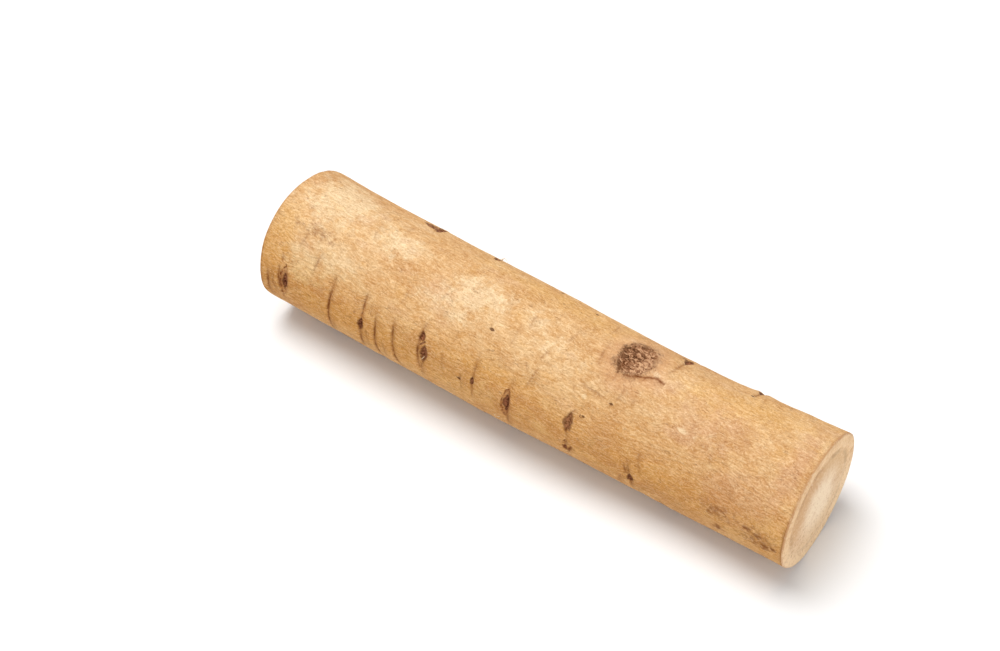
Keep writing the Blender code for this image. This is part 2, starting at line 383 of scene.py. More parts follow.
@dataclass
class RootForm:
    """The root's own shape: section, bow, cuts and relief.

    Attributes:
        first_station: Place of the first value in radius and bow.
        station_step: Distance between those values.
        radius: Radius of the plain section at each station.
        bow: Sideways shift of the section at each station.
        flat_depth: How far the underside is pressed flat.
        left_cut: Place of the left cut on the root's middle line.
        left_slope: Slope of the left cut towards +Y and +Z.
        right_cut: Place of the right cut.
        right_slope: Slope of the right cut towards +Y and +Z.
        slope_fade: Length over which the rings turn into a cut's slope.
        cut_shares: Shares of the radius at which cut_rises are given.
        cut_rises: Rise of a cut face there.
        lumps: Height, lobes round, waves along and start angle of slow unevenness.
        crease_width: Half-width of a fold's soft groove.
        line_width: Half-width of the sharp line in its middle.
        shoulder_place: Distance of a fold's shoulder from its line.
        shoulder_width: Half-width of that shoulder.
        shoulder_share: Height of the shoulder in groove depths.
        groove_share: Depth of the soft groove in groove depths.
        line_share: Depth of the sharp line in groove depths.
        lip_place: Distance of a scar's lips from its middle, 1 being its outline.
        lip_width: Half-width of those lips.
        core_reach: Reach of a scar's sunk core.
        rim_place: Distance of a stump's rim from its middle, 1 being its outline.
        rim_width: Half-width of that rim.
        plate_reach: Reach of a stump's plate.
        plate_fade: Softness of the plate's edge.
        knot_roughness: Height of the roughness on a healed stump.
        knot_waves: Share and two waves, along and round, of that roughness.
        rim_share: Share of the radius where a cut face ends and its rim begins.
        wrinkle_count: Number of faint wrinkles besides the named folds.
        wrinkle_margin: Length at each cut without wrinkles.
        wrinkle_span: Least and greatest half span of a wrinkle.
        wrinkle_lean: The same for its lean.
        wrinkle_bow: The same for its bow.
        wrinkle_depth: The same for its depth.
        wrinkle_ink: The same for its ink.
        seed: Seed of every random draw on the form.
        wrinkles: The faint wrinkles.
    """

    first_station: float = -80.0
    station_step: float = 20.0
    radius: tuple[float, ...] = (18.7, 18.45, 18.5, 18.5, 18.3, 18.0, 17.8, 18.2, 18.7)
    bow: tuple[float, ...] = (0.25, -0.35, -0.7, -0.85, -0.9, -0.55, 0.1, 0.5, 0.65)
    flat_depth: float = 0.35
    left_cut: float = -76.95
    left_slope: Pair = (0.112, -0.125)
    right_cut: float = 79.4
    right_slope: Pair = (-0.02, -0.025)
    slope_fade: float = 40.0
    cut_shares: tuple[float, ...] = (0.0, 0.45, 0.74, 0.775, 0.81, 0.97, 0.99, 1.0)
    cut_rises: tuple[float, ...] = (0.12, 0.05, -0.05, -0.25, 0.0, 0.0, -0.10, -0.35)
    lumps: tuple[tuple[float, int, float, float], ...] = (
        (0.20, 2, 0.6, 0.5),
        (0.14, 3, -1.3, 2.1),
        (0.10, 5, 2.2, 4.0),
        (0.07, 8, -3.1, 1.2),
    )
    crease_width: float = 0.85
    line_width: float = 0.30
    shoulder_place: float = 2.1
    shoulder_width: float = 1.5
    shoulder_share: float = 0.4
    groove_share: float = 0.55
    line_share: float = 0.6
    lip_place: float = 1.25
    lip_width: float = 0.45
    core_reach: float = 0.70
    rim_place: float = 1.05
    rim_width: float = 0.22
    plate_reach: float = 0.9
    plate_fade: float = 0.08
    knot_roughness: float = 0.22
    knot_waves: tuple[tuple[float, Pair, Pair], ...] = (
        (1.0, (1.9, 0.7), (-0.5, 1.6)),
        (0.8, (4.3, -2.0), (1.3, 3.9)),
    )
    rim_share: float = 0.97
    wrinkle_count: int = 90
    wrinkle_margin: float = 3.0
    wrinkle_span: Pair = (4.0, 13.0)
    wrinkle_lean: Pair = (-0.9, 0.9)
    wrinkle_bow: Pair = (-0.5, 0.5)
    wrinkle_depth: Pair = (0.04, 0.12)
    wrinkle_ink: Pair = (0.10, 0.40)
    seed: int = 11
    wrinkles: list[Crease] = field(init=False)

    def __post_init__(self) -> None:
        """Draw the faint wrinkles once, so that relief and colour share them."""
        self.wrinkles = self.draw_wrinkles()

    def draw_wrinkles(self) -> list[Crease]:
        """Scatter faint wrinkles over the bark.

        Returns:
            The wrinkles, as shallow folds.
        """
        chance = random.Random(self.seed)
        reach = (self.left_cut + self.wrinkle_margin, self.right_cut - self.wrinkle_margin)
        ranges = (reach, (-180.0, 180.0), self.wrinkle_span, self.wrinkle_lean,
                  self.wrinkle_bow, self.wrinkle_depth, self.wrinkle_ink)
        return [Crease(*(chance.uniform(*limits) for limits in ranges))
                for _ in range(self.wrinkle_count)]

    def creases(self) -> tuple[Crease, ...]:
        """All named folds."""
        return FRONT_CREASES + BACK_CREASES

    def lines(self) -> tuple[Crease | Crack, ...]:
        """Every fold, fine line, wrinkle and crack."""
        return self.creases() + FINE_LINES + tuple(self.wrinkles) + KNOT_CRACKS

    def scars(self) -> tuple[Scar, ...]:
        """All named scars of side roots."""
        return FRONT_SCARS + BACK_SCARS

    def read_along(self, x: Array, values: Sequence[float]) -> Array:
        """Read a size on a smooth curve through its values at the stations.

        Args:
            x: Places along the root.
            values: One value for each station.

        Returns:
            The size at each place.
        """
        place = (np.asarray(x, dtype=float) - self.first_station) / self.station_step
        index = np.clip(np.floor(place).astype(int), 0, len(values) - 2)
        t = np.clip(place - index, 0.0, 1.0)
        padded = np.array((values[0],) + tuple(values) + (values[-1],))
        before, here, there, after = (padded[index + step] for step in range(4))
        slope_here = (there - before) / 2.0
        slope_there = (after - here) / 2.0
        rise = there - here
        curve = 3.0 * rise - 2.0 * slope_here - slope_there
        twist = slope_here + slope_there - 2.0 * rise
        return here + t * (slope_here + t * (curve + t * twist))

    def lump_height(self, x: Array, angle: Array) -> Array:
        """Slow unevenness of the bark.

        Args:
            x: Places along the root.
            angle: Angles round the root.

        Returns:
            Height over the plain section.
        """
        waves = 2.0 * math.pi * x / (self.right_cut - self.left_cut)
        height = np.zeros_like(x)
        for size, lobes, turns, start in self.lumps:
            height += size * np.cos(lobes * np.radians(angle) + turns * waves + start)
        return height

    def line_height(self, x: Array, angle: Array, line: Crease | Crack) -> Array:
        """Relief of one fold or crack: a sharp groove between soft shoulders.

        Args:
            x: Places along the root.
            angle: Angles round the root.
            line: The fold or crack.

        Returns:
            Height over the plain section.
        """
        gap, strength = line.trace(x, angle, self.read_along(x, self.radius))
        gap = np.abs(gap)
        soft = np.exp(-((gap / self.crease_width) ** 2))
        sharp = np.exp(-((gap / self.line_width) ** 2))
        shoulder = np.exp(-(((gap - self.shoulder_place) / self.shoulder_width) ** 2))
        groove = self.groove_share * soft + self.line_share * sharp
        return line.depth * strength * (self.shoulder_share * shoulder - groove)

    def scar_height(self, x: Array, angle: Array, scar: Scar) -> Array:
        """Relief of one scar: raised lips round a sunk core.

        Args:
            x: Places along the root.
            angle: Angles round the root.
            scar: The scar.

        Returns:
            Height over the plain section.
        """
        across, along = scar.place(x, angle, self.read_along(x, self.radius))
        lens = np.abs(across) + along ** 2
        lips = np.exp(-(((lens - self.lip_place) / self.lip_width) ** 2))
        core = np.exp(-((np.hypot(across, along) / self.core_reach) ** 2))
        return scar.lip * lips - scar.depth * core

    def knot_height(self, x: Array, angle: Array, knot: Scar) -> Array:
        """Relief of a healed stump: a rough plate with a raised rim.

        Args:
            x: Places along the root.
            angle: Angles round the root.
            knot: The stump.

        Returns:
            Height over the plain section.
        """
        arc_mm = self.read_along(x, self.radius)
        across, along = knot.place(x, angle, arc_mm)
        distance = np.hypot(across, along)
        rim = np.exp(-(((distance - self.rim_place) / self.rim_width) ** 2))
        plate = 1.0 / (1.0 + np.exp((distance - self.plate_reach) / self.plate_fade))
        arc = np.radians(angle) * arc_mm
        rough = np.zeros_like(x)
        for size, first, second in self.knot_waves:
            waves = np.sin(first[0] * x + first[1] * arc)
            rough += size * waves * np.sin(second[0] * x + second[1] * arc)
        return knot.lip * rim + plate * (self.knot_roughness * rough - knot.depth)

    def bark_relief(self, x: Array, angle: Array) -> Array:
        """Everything that stands out of the plain section or is sunk in it.

        Args:
            x: Places along the root.
            angle: Angles round the root.

        Returns:
            Height over the plain section.
        """
        height = self.lump_height(x, angle)
        for line in self.lines():
            height += self.line_height(x, angle, line)
        for scar in self.scars():
            height += self.scar_height(x, angle, scar)
        for knot in KNOTS:
            height += self.knot_height(x, angle, knot)
        return height

    def slope_shift(self, x: Array, off_y: Array, off_z: Array) -> Array:
        """How far points move along the root so that the last rings lie on the cuts.

        Args:
            x: Places along the root.
            off_y: Offsets from the middle line towards +Y.
            off_z: Offsets from the middle line towards +Z.

        Returns:
            Shift along the root.
        """
        near_left = np.clip(1.0 - (x - self.left_cut) / self.slope_fade, 0.0, 1.0)
        near_right = np.clip(1.0 - (self.right_cut - x) / self.slope_fade, 0.0, 1.0)
        left = self.left_slope[0] * off_y + self.left_slope[1] * off_z
        right = self.right_slope[0] * off_y + self.right_slope[1] * off_z
        return near_left * left + near_right * right

    def cut_side(self, x: Array) -> Array:
        """Which cut the points lie on: -1 left, 1 right, 0 neither."""
        at_left = np.isclose(x, self.left_cut, atol=1e-3)
        at_right = np.isclose(x, self.right_cut, atol=1e-3)
        return at_right * 1.0 - at_left * 1.0

    def true_places(self, x: Array, angle: Array, share: Array) -> Array:
        """Places along the root once the rings have turned into the cuts' slopes.

        Args:
            x: Places on the plain roller.
            angle: Angles round the root.
            share: Shares of the radius.

        Returns:
            Places on the root.
        """
        radius = self.read_along(x, self.radius) * share
        turn = np.radians(angle)
        return x + self.slope_shift(x, -np.sin(turn) * radius, np.cos(turn) * radius)

    def points(self, x: Array, angle: Array, share: Array, fine: Array) -> Array:
        """Move the points of the plain roller to the root's own shape.

        Args:
            x: Places on the plain roller.
            angle: Angles round the root.
            share: Shares of the radius, 1 on the bark.
            fine: Fine relief to add, along the surface's own normal.

        Returns:
            Points in millimetres.
        """
        true_x = self.true_places(x, angle, share)
        turn = np.radians(angle)
        side = self.cut_side(x)
        on_face = (side != 0.0) & (share < self.rim_share)
        reach = self.read_along(true_x, self.radius) + self.bark_relief(true_x, angle)
        reach = (reach + np.where(on_face, 0.0, fine)) * share
        y = self.read_along(true_x, self.bow) - np.sin(turn) * reach
        middle = self.read_along(true_x, self.radius) - self.flat_depth
        z = np.maximum(middle + np.cos(turn) * reach, 0.0)
        rise = np.interp(share, self.cut_shares, self.cut_rises)
        rise = (rise + np.where(on_face, fine, 0.0)) * side
        return np.stack((true_x + rise, y, z), axis=1)


class Board:
    """Short calls for the nodes of one material or node group."""

    def __init__(self, tree: bpy.types.NodeTree) -> None:
        """Work on a node tree.

        Args:
            tree: The material's or the group's tree.
        """
        self.tree = tree

    def add(self, kind: str, **settings: object) -> bpy.types.Node:
        """Place a node.

        Args:
            kind: The node's type name.
            **settings: Properties to set on it.

        Returns:
            The node.
        """
        node = self.tree.nodes.new(kind)
        for name, value in settings.items():
            setattr(node, name, value)
        return node

    def feed(self, socket: Socket, value: object) -> None:
        """Give a socket a link or a constant.

        Args:
            socket: The input.
            value: Another node's output, or a plain value.
        """
        if isinstance(value, bpy.types.NodeSocket):
            self.tree.links.new(value, socket)
        else:
            socket.default_value = value

    def maths(self, operation: str, *values: object) -> Socket:
        """Do one sum on numbers.

        Args:
            operation: Blender's name of the sum.
            *values: Its inputs, sockets or numbers.

        Returns:
            The result.
        """
        node = self.add("ShaderNodeMath", operation=operation)
        for socket, value in zip(node.inputs, values):
            self.feed(socket, value)
        return node.outputs[0]

    def times(self, first: object, *others: object) -> Socket:
        """Multiply numbers, from left to right.

        Args:
            first: The first number.
            *others: What it is multiplied by.

        Returns:
            The product.
        """
        for other in others:
            first = self.maths("MULTIPLY", first, other)
        return first

    def plus(self, base: object, value: object, share: object) -> Socket:
        """Add a share of one number to another.

        Args:
            base: The number that is added to.
            value: The number that is added.
            share: How much of it.

        Returns:
            The sum.
        """
        return self.maths("MULTIPLY_ADD", value, share, base)

    def gap_to(self, value: object, mark: object) -> Socket:
        """Measure how far a number is from a mark, on either side."""
        return self.maths("ABSOLUTE", self.maths("SUBTRACT", value, mark))

    def vector(self, operation: str, *values: object) -> Socket:
        """Do one sum on vectors.

        Args:
            operation: Blender's name of the sum.
            *values: Its inputs, sockets or triples.

        Returns:
            The result.
        """
        node = self.add("ShaderNodeVectorMath", operation=operation)
        for socket, value in zip(node.inputs, values):
            self.feed(socket, value)
        return node.outputs["Vector"]

    def split(self, vector: Socket) -> tuple[Socket, Socket, Socket]:
        """Take a vector apart into its three numbers."""
        node = self.add("ShaderNodeSeparateXYZ")
        self.feed(node.inputs[0], vector)
        return node.outputs[0], node.outputs[1], node.outputs[2]

    def noise(self, place: Socket, scale: float, detail: float = 2.0,
              roughness: float = 0.5, distortion: float = 0.0) -> Socket:
        """Read a soft random value.

        Args:
            place: Where to read it.
            scale: Features for each unit of length.
            detail: Octaves.
            roughness: Strength of the fine octaves.
            distortion: Swirl of the pattern.

        Returns:
            A value round 0.5.
        """
        node = self.add("ShaderNodeTexNoise")
        self.feed(node.inputs["Vector"], place)
        self.feed(node.inputs["Scale"], scale)
        self.feed(node.inputs["Detail"], detail)
        self.feed(node.inputs["Roughness"], roughness)
        self.feed(node.inputs["Distortion"], distortion)
        return node.outputs["Fac"]

    def wander(self, place: Socket, scale: float, detail: float = 2.0,
               roughness: float = 0.5) -> Socket:
        """Read a soft random value round 0.

        Args:
            place: Where to read it.
            scale: Features for each unit of length.
            detail: Octaves.
            roughness: Strength of the fine octaves.

        Returns:
            The value.
        """
        return self.maths("SUBTRACT", self.noise(place, scale, detail, roughness), 0.5)

    def band(self, value: object, low: float, high: float) -> Socket:
        """Turn a value into a soft mask, 0 at low and 1 at high.

        Args:
            value: The value.
            low: Where the mask is 0.
            high: Where the mask is 1.

        Returns:
            The mask.
        """
        flip = low > high
        node = self.add("ShaderNodeMapRange", interpolation_type="SMOOTHSTEP")
        self.feed(node.inputs["Value"], value)
        node.inputs["From Min"].default_value = min(low, high)
        node.inputs["From Max"].default_value = max(low, high)
        node.inputs["To Min"].default_value = 1.0 if flip else 0.0
        node.inputs["To Max"].default_value = 0.0 if flip else 1.0
        return node.outputs["Result"]

    def blend(self, share: object, under: object, over: object,
              mode: str = "MIX") -> Socket:
        """Lay one colour over another.

        Args:
            share: How much of the upper colour shows.
            under: The lower colour.
            over: The upper colour.
            mode: Blender's blend mode.

        Returns:
            The colour.
        """
        node = self.add("ShaderNodeMix", data_type="RGBA", blend_type=mode)
        self.feed(node.inputs[MIX_SHARE], share)
        self.feed(node.inputs[MIX_UNDER], under)
        self.feed(node.inputs[MIX_OVER], over)
        return node.outputs[MIX_RESULT]

    def lay(self, colour: object, over: object, *masks: object) -> Socket:
        """Lay a colour over another through masks that multiply.

        Args:
            colour: The lower colour.
            over: The upper colour.
            *masks: Masks and strengths of the upper colour.

        Returns:
            The colour.
        """
        return self.blend(self.times(*masks), colour, over)

    def ramp(self, value: Socket, stops: Iterable[tuple[float, Colour]]) -> Socket:
        """Turn a value into a colour through a row of stops.

        Args:
            value: The value.
            stops: Place and colour of each stop, in order.

        Returns:
            The colour.
        """
        node = self.add("ShaderNodeValToRGB")
        self.feed(node.inputs[0], value)
        stops = list(stops)
        elements = node.color_ramp.elements
        while len(elements) < len(stops):
            elements.new(0.5)
        for element, (place, colour) in zip(elements, stops):
            element.position = place
            element.color = colour
        return node.outputs[0]

    def attribute(self, name: str, output: str = "Fac") -> Socket:
        """Read a value that the mesh carries.

        Args:
            name: The attribute's name.
            output: Which output of the node.

        Returns:
            The value.
        """
        node = self.add("ShaderNodeAttribute", attribute_name=name)
        return node.outputs[output]

    def place(self) -> Socket:
        """Read the place on the object, in metres."""
        return self.add("ShaderNodeTexCoord").outputs["Object"]

    def group(self, tree: bpy.types.NodeTree, **inputs: object) -> bpy.types.Node:
        """Place a node group.

        Args:
            tree: The group.
            **inputs: Values of its inputs, by name.

        Returns:
            The group's node.
        """
        node = self.add("ShaderNodeGroup", node_tree=tree)
        for name, value in inputs.items():
            self.feed(node.inputs[name], value)
        return node


def new_finish(name: str, specular: float) -> tuple[bpy.types.Material, Board, bpy.types.Node]:
    """Start a material.

    Args:
        name: The material's name.
        specular: Its specular level.

    Returns:
        The material, its board and its shader.
    """
    material = bpy.data.materials.new(name)
    material.use_nodes = True
    shader = material.node_tree.nodes["Principled BSDF"]
    shader.inputs["Specular IOR Level"].default_value = specular
    return material, Board(material.node_tree), shader


def dress(board: Board, shader: bpy.types.Node, colour: Socket, rough: Socket,
          height: Socket) -> None:
    """Feed a material's shader.

    Args:
        board: The material's board.
        shader: Its shader.
        colour: Its colour.
        rough: Its roughness.
        height: Height of its fine relief, in millimetres.
    """
    bump = board.add("ShaderNodeBump")
    bump.inputs["Distance"].default_value = MM
    board.feed(bump.inputs["Height"], height)
    board.feed(shader.inputs["Base Color"], colour)
    board.feed(shader.inputs["Roughness"], rough)
    board.feed(shader.inputs["Normal"], bump.outputs["Normal"])


def put_in_scene(name: str, data: bpy.types.ID) -> bpy.types.Object:
    """Make an object of a mesh, a light or a camera.

    Args:
        name: The object's name.
        data: What it shows.

    Returns:
        The object, at the origin.
    """
    piece = bpy.data.objects.new(name, data)
    bpy.context.scene.collection.objects.link(piece)
    return piece


def mesh_of(bm: bmesh.types.BMesh, name: str) -> bpy.types.Mesh:
    """Turn a finished bmesh into a mesh and free it.

    Args:
        bm: The bmesh.
        name: The mesh's name.

    Returns:
        The mesh.
    """
    mesh = bpy.data.meshes.new(name)
    bm.to_mesh(mesh)
    bm.free()
    return mesh


def new_group(name: str, inputs: dict[str, str], outputs: dict[str, str]
              ) -> tuple[Board, bpy.types.Node, bpy.types.Node]:
    """Start a shader node group.

    Args:
        name: The group's name.
        inputs: Socket type of each input, by name.
        outputs: Socket type of each output, by name.

    Returns:
        The group's board, its input node and its output node.
    """
    tree = bpy.data.node_groups.new(name, "ShaderNodeTree")
    for label, kind in inputs.items():
        tree.interface.new_socket(label, in_out="INPUT", socket_type=kind)
    for label, kind in outputs.items():
        tree.interface.new_socket(label, in_out="OUTPUT", socket_type=kind)
    board = Board(tree)
    return board, board.add("NodeGroupInput"), board.add("NodeGroupOutput")


def fibre_group() -> bpy.types.NodeTree:
    """Wavy fibres that run along the root.

    Returns:
        The group, with the fibres' tone from 0 to 1.
    """
    board, given, made = new_group(
        "fibres",
        {"Place": "NodeSocketVector", "Stretch": "NodeSocketVector",
         "Waviness": "NodeSocketFloat"},
        {"Tone": "NodeSocketFloat"},
    )
    wave = board.add("ShaderNodeTexNoise")
    board.feed(wave.inputs["Vector"], given.outputs["Place"])
    wave.inputs["Scale"].default_value = 250.0
    wave.inputs["Detail"].default_value = 1.0
    centred = board.vector("SUBTRACT", wave.outputs["Color"], (0.5, 0.5, 0.5))
    scale = board.add("ShaderNodeVectorMath", operation="SCALE")
    board.feed(scale.inputs[0], centred)
    board.feed(scale.inputs["Scale"], given.outputs["Waviness"])
    bent = board.vector("ADD", given.outputs["Place"], scale.outputs["Vector"])
    stretched = board.vector("MULTIPLY", bent, given.outputs["Stretch"])
    tone = board.noise(stretched, scale=1.0, detail=2.5, roughness=0.6, distortion=0.5)
    board.feed(made.inputs["Tone"], board.band(tone, 0.3, 0.7))
    return board.tree


def blotch_group() -> bpy.types.NodeTree:
    """A soft patch with a ragged edge.

    Returns:
        The group, which turns a smooth field into a mask with a broken edge.
    """
    board, given, made = new_group(
        "blotches",
        {"Place": "NodeSocketVector", "Field": "NodeSocketFloat",
         "Scale": "NodeSocketFloat", "Raggedness": "NodeSocketFloat"},
        {"Mask": "NodeSocketFloat"},
    )
    rough = board.wander(given.outputs["Place"], given.outputs["Scale"], detail=5.0,
                         roughness=0.65)
    torn = board.plus(given.outputs["Field"], rough, given.outputs["Raggedness"])
    board.feed(made.inputs["Mask"], board.band(torn, 0.22, 0.78))
    return board.tree


@dataclass(frozen=True)
class BarkFinish:
    """Dry, felted ochre bark with creases, scars and stains.

    Attributes:
        deep: Darkest tone of the mottling.
        ochre: Middle tone of the mottling.
        cream: Palest tone of the mottling.
        scrubbed_and_bounce_light: Patches where the brush took the felt off, and patches of
            painted bounce light.
        golden: Yellow patches.
        rosy: Reddish patches, and the skin round a stump.
        stain_and_fold_shade: Brown patches, and the painted shade beside a fold.
        shade: Painted shade that the sides' colour is multiplied by, partly their own deeper
            ochre.
        fibre_dark: Gaps between the fibres.
        fibre_light: Crests of the fibres.
        fleck: Sparse dark strokes.
        crease_line: Lines in folds, partly painted shade of their grooves, lines round scars,
            and strokes in stains.
        scar_skin: Skin inside a scar.
        scar_core: Heart of a scar.
        knot_dark: Darkest tone of a stump.
        knot_middle: Middle tone of a stump.
        knot_light: Palest tone of a stump.
        edge: Painted shade on the bark beside a cut.
        roughness: Middle of the roughness.
        swing: Span of the roughness, from gaps to crests.
        specular: Specular level.
        fine_stretch: Fine fibres for each metre along the root and across it.
        fine_waviness: How far the fine fibres wander, in metres.
        coarse_stretch: Coarse fibres for each metre along the root and across it.
        coarse_waviness: How far the coarse fibres wander, in metres.
        lengthwise: Stretch of the mottling along the root.
        fleck_stretch: Stretch of the flecks along the root.
        stroke_stretch: Stretch of the strokes in stains.
        broad_share: Share of the broad mottling.
        small_share: Share of the small mottling.
        drift_force: Strength of the scattered rosy and golden tones.
        fine_dark: Strength of the gaps between fine fibres.
        coarse_dark: Strength of the gaps between coarse fibres.
        fine_light: Strength of the fine fibres' crests.
        grain_dark: Strength of the dark grain.
        grain_light: Strength of the light grain.
        fleck_force: Strength of the flecks.
        stroke_force: Strength of the strokes in stains.
        fold_shade_force: Strength of the painted shade beside a fold.
        lens_force: Strength of the skin tone inside a scar.
        core_grain: Strength of the pale grain in a scar's heart.
        bruise_force: Strength of the rosy skin round a stump.
        plate_force: Strength of a stump's tones.
        rim_force: Strength of a stump's dark outline.
        dot_force: Strength of the dots round a stump.
        fine_bump: Height of the fine fibres, in millimetres.
        coarse_bump: Height of the coarse fibres.
        line_bump: Height of the lines, below 0 for a groove.
        scar_bump: Height of the scars' hearts.
        knot_bump: Height of the stumps' roughness.
    """

    deep: Colour = srgb(194, 141, 86)
    ochre: Colour = srgb(212, 164, 108)
    cream: Colour = srgb(227, 188, 138)
    scrubbed_and_bounce_light: Colour = srgb(239, 213, 172)
    golden: Colour = srgb(221, 170, 95)
    rosy: Colour = srgb(204, 154, 118)
    stain_and_fold_shade: Colour = srgb(136, 78, 34)
    shade: Colour = (1.0, 0.82, 0.49, 1.0)
    fibre_dark: Colour = srgb(146, 102, 64)
    fibre_light: Colour = srgb(249, 226, 188)
    fleck: Colour = srgb(112, 66, 28)
    crease_line: Colour = srgb(112, 56, 18)
    scar_skin: Colour = srgb(166, 108, 74)
    scar_core: Colour = srgb(74, 30, 8)
    knot_dark: Colour = srgb(70, 36, 14)
    knot_middle: Colour = srgb(150, 102, 70)
    knot_light: Colour = srgb(218, 174, 136)
    edge: Colour = srgb(134, 84, 44)
    roughness: float = 0.74
    swing: float = 0.12
    specular: float = 0.05
    fine_stretch: Triple = (600.0, 2600.0, 2600.0)
    fine_waviness: float = 0.0019
    coarse_stretch: Triple = (230.0, 1050.0, 1050.0)
    coarse_waviness: float = 0.0024
    lengthwise: Triple = (0.6, 1.0, 1.0)
    fleck_stretch: Triple = (0.42, 1.0, 1.0)
    stroke_stretch: Triple = (0.5, 1.0, 1.0)
    broad_share: float = 0.60
    small_share: float = 0.50
    drift_force: float = 0.30
    fine_dark: float = 0.30
    coarse_dark: float = 0.16
    fine_light: float = 0.24
    grain_dark: float = 0.40
    grain_light: float = 0.35
    fleck_force: float = 0.42
    stroke_force: float = 0.70
    fold_shade_force: float = 0.50
    lens_force: float = 0.38
    core_grain: float = 0.85
    bruise_force: float = 0.38
    plate_force: float = 0.95
    rim_force: float = 0.5
    dot_force: float = 0.6
    fine_bump: float = 0.06
    coarse_bump: float = 0.08
    line_bump: float = -0.10
    scar_bump: float = -0.15
    knot_bump: float = 0.30

    def material(self, groups: dict[str, bpy.types.NodeTree]) -> bpy.types.Material:
        """Build the bark.

        Args:
            groups: The shared node groups, by name.

        Returns:
            The material.
        """
        material, board, shader = new_finish("burdock_bark", self.specular)
        place = board.attribute("grain_way", "Vector")
        fine, coarse = (
            board.group(groups["fibres"], Place=place, Stretch=stretch,
                        Waviness=waviness).outputs["Tone"]
            for stretch, waviness in ((self.fine_stretch, self.fine_waviness),
                                      (self.coarse_stretch, self.coarse_waviness))
        )
        colour = self.ground(board, groups["blotches"], place)
        colour = self.felt(board, colour, place, fine, coarse)
        colour = self.stain_strokes(board, colour, place)
        colour, knot_rough = self.knots(board, colour, place)
        line, fold_shade = self.lines(board, place)
        # Painted shade on one side of each fold or crack in the stain colour, then the line
        # itself, partly painted groove shade
        colour = board.blend(fold_shade, colour, self.stain_and_fold_shade)
        colour = board.blend(line, colour, self.crease_line)
        colour, scar_dip = self.scars(board, colour, place)
        colour = self.edges(board, colour, place)
        rough = board.plus(self.roughness - self.swing / 2.0, fine, self.swing)
        height = board.times(fine, self.fine_bump)
        for relief, size in ((coarse, self.coarse_bump), (line, self.line_bump),
                             (scar_dip, self.scar_bump), (knot_rough, self.knot_bump)):
            height = board.plus(height, relief, size)
        dress(board, shader, colour, rough, height)
        return material

    def ground(self, board: Board, blotches: bpy.types.NodeTree, place: Socket) -> Socket:
        """Mix the broad tones: mottling, scrubbed, golden, rosy and stained patches, and the
        painted shade of the sides.

        Args:
            board: The material's board.
            blotches: The node group of ragged patches.
            place: Place on the object.

        Returns:
            The colour.
        """
        long_place = board.vector("MULTIPLY", place, self.lengthwise)
        broad = board.noise(long_place, scale=85.0, detail=5.0, roughness=0.62,
                            distortion=0.4)
        small = board.noise(long_place, scale=480.0, detail=4.0, roughness=0.6,
                            distortion=0.3)
        mottling = board.plus(board.times(broad, self.broad_share), small, self.small_share)
        colour = board.ramp(mottling, (
            (0.38, self.deep), (0.52, self.ochre), (0.66, self.cream),
        ))
        for name, tint, scale, raggedness, force in (
            ("golden", self.golden, 300.0, 0.9, 0.60),
            ("rosy", self.rosy, 260.0, 1.1, 0.55),
            ("scrubbed_and_bounce_light", self.scrubbed_and_bounce_light, 360.0, 1.8, 0.72),
            ("stained", self.stain_and_fold_shade, 620.0, 2.2, 0.54),
        ):
            patch = board.group(blotches, Place=place, Field=board.attribute(name),
                                Scale=scale, Raggedness=raggedness)
            colour = board.lay(colour, tint, patch.outputs["Mask"], force)
        drift = board.noise(long_place, scale=240.0, detail=3.0, roughness=0.55)
        for tint, bare, full in ((self.rosy, 0.54, 0.72), (self.golden, 0.46, 0.28)):
            colour = board.lay(colour, tint, board.band(drift, bare, full), self.drift_force)
        # Painted shade: the sides, most of all low on the front, are multiplied by the shade
        # colour
        return board.blend(board.attribute("shaded"), colour, self.shade, "MULTIPLY")

    def felt(self, board: Board, colour: Socket, place: Socket, fine: Socket,
             coarse: Socket) -> Socket:
        """Draw the felted fibres, the grain and the flecks.

        Args:
            board: The material's board.
            colour: The ground.
            place: Place on the object.
            fine: Tone of the fine fibres.
            coarse: Tone of the coarse fibres.

        Returns:
            The colour.
        """
        for tone, force in ((fine, self.fine_dark), (coarse, self.coarse_dark)):
            gaps = board.maths("SUBTRACT", 1.0, tone)
            colour = board.lay(colour, self.fibre_dark, gaps, force)
        crests = board.maths("POWER", fine, 2.0)
        colour = board.lay(colour, self.fibre_light, crests, self.fine_light)
        grain = board.noise(place, scale=2300.0, detail=3.0, roughness=0.75)
        dark, light = board.band(grain, 0.50, 0.30), board.band(grain, 0.52, 0.72)
        colour = board.lay(colour, self.fibre_dark, dark, self.grain_dark)
        colour = board.lay(colour, self.fibre_light, light, self.grain_light)
        long_place = board.vector("MULTIPLY", place, self.fleck_stretch)
        flecks = board.noise(long_place, scale=1500.0, distortion=1.2)
        sparse = board.noise(place, scale=190.0, detail=3.0, roughness=0.6)
        return board.lay(colour, self.fleck, board.band(flecks, 0.58, 0.72),
                         board.band(sparse, 0.34, 0.60), self.fleck_force)

    def stain_strokes(self, board: Board, colour: Socket, place: Socket) -> Socket:
        """Darken single fibres inside the stained patches.

        Args:
            board: The material's board.
            colour: The bark so far.
            place: Place on the object.

        Returns:
            The colour.
        """
        inside = board.band(board.attribute("stained"), 0.10, 0.85)
        long_place = board.vector("MULTIPLY", place, self.stroke_stretch)
        strokes = board.noise(long_place, scale=1300.0, detail=4.0, roughness=0.7,
                              distortion=0.6)
        strokes = board.band(board.plus(strokes, inside, 0.14), 0.53, 0.70)
        return board.lay(colour, self.crease_line, strokes, inside, self.stroke_force)

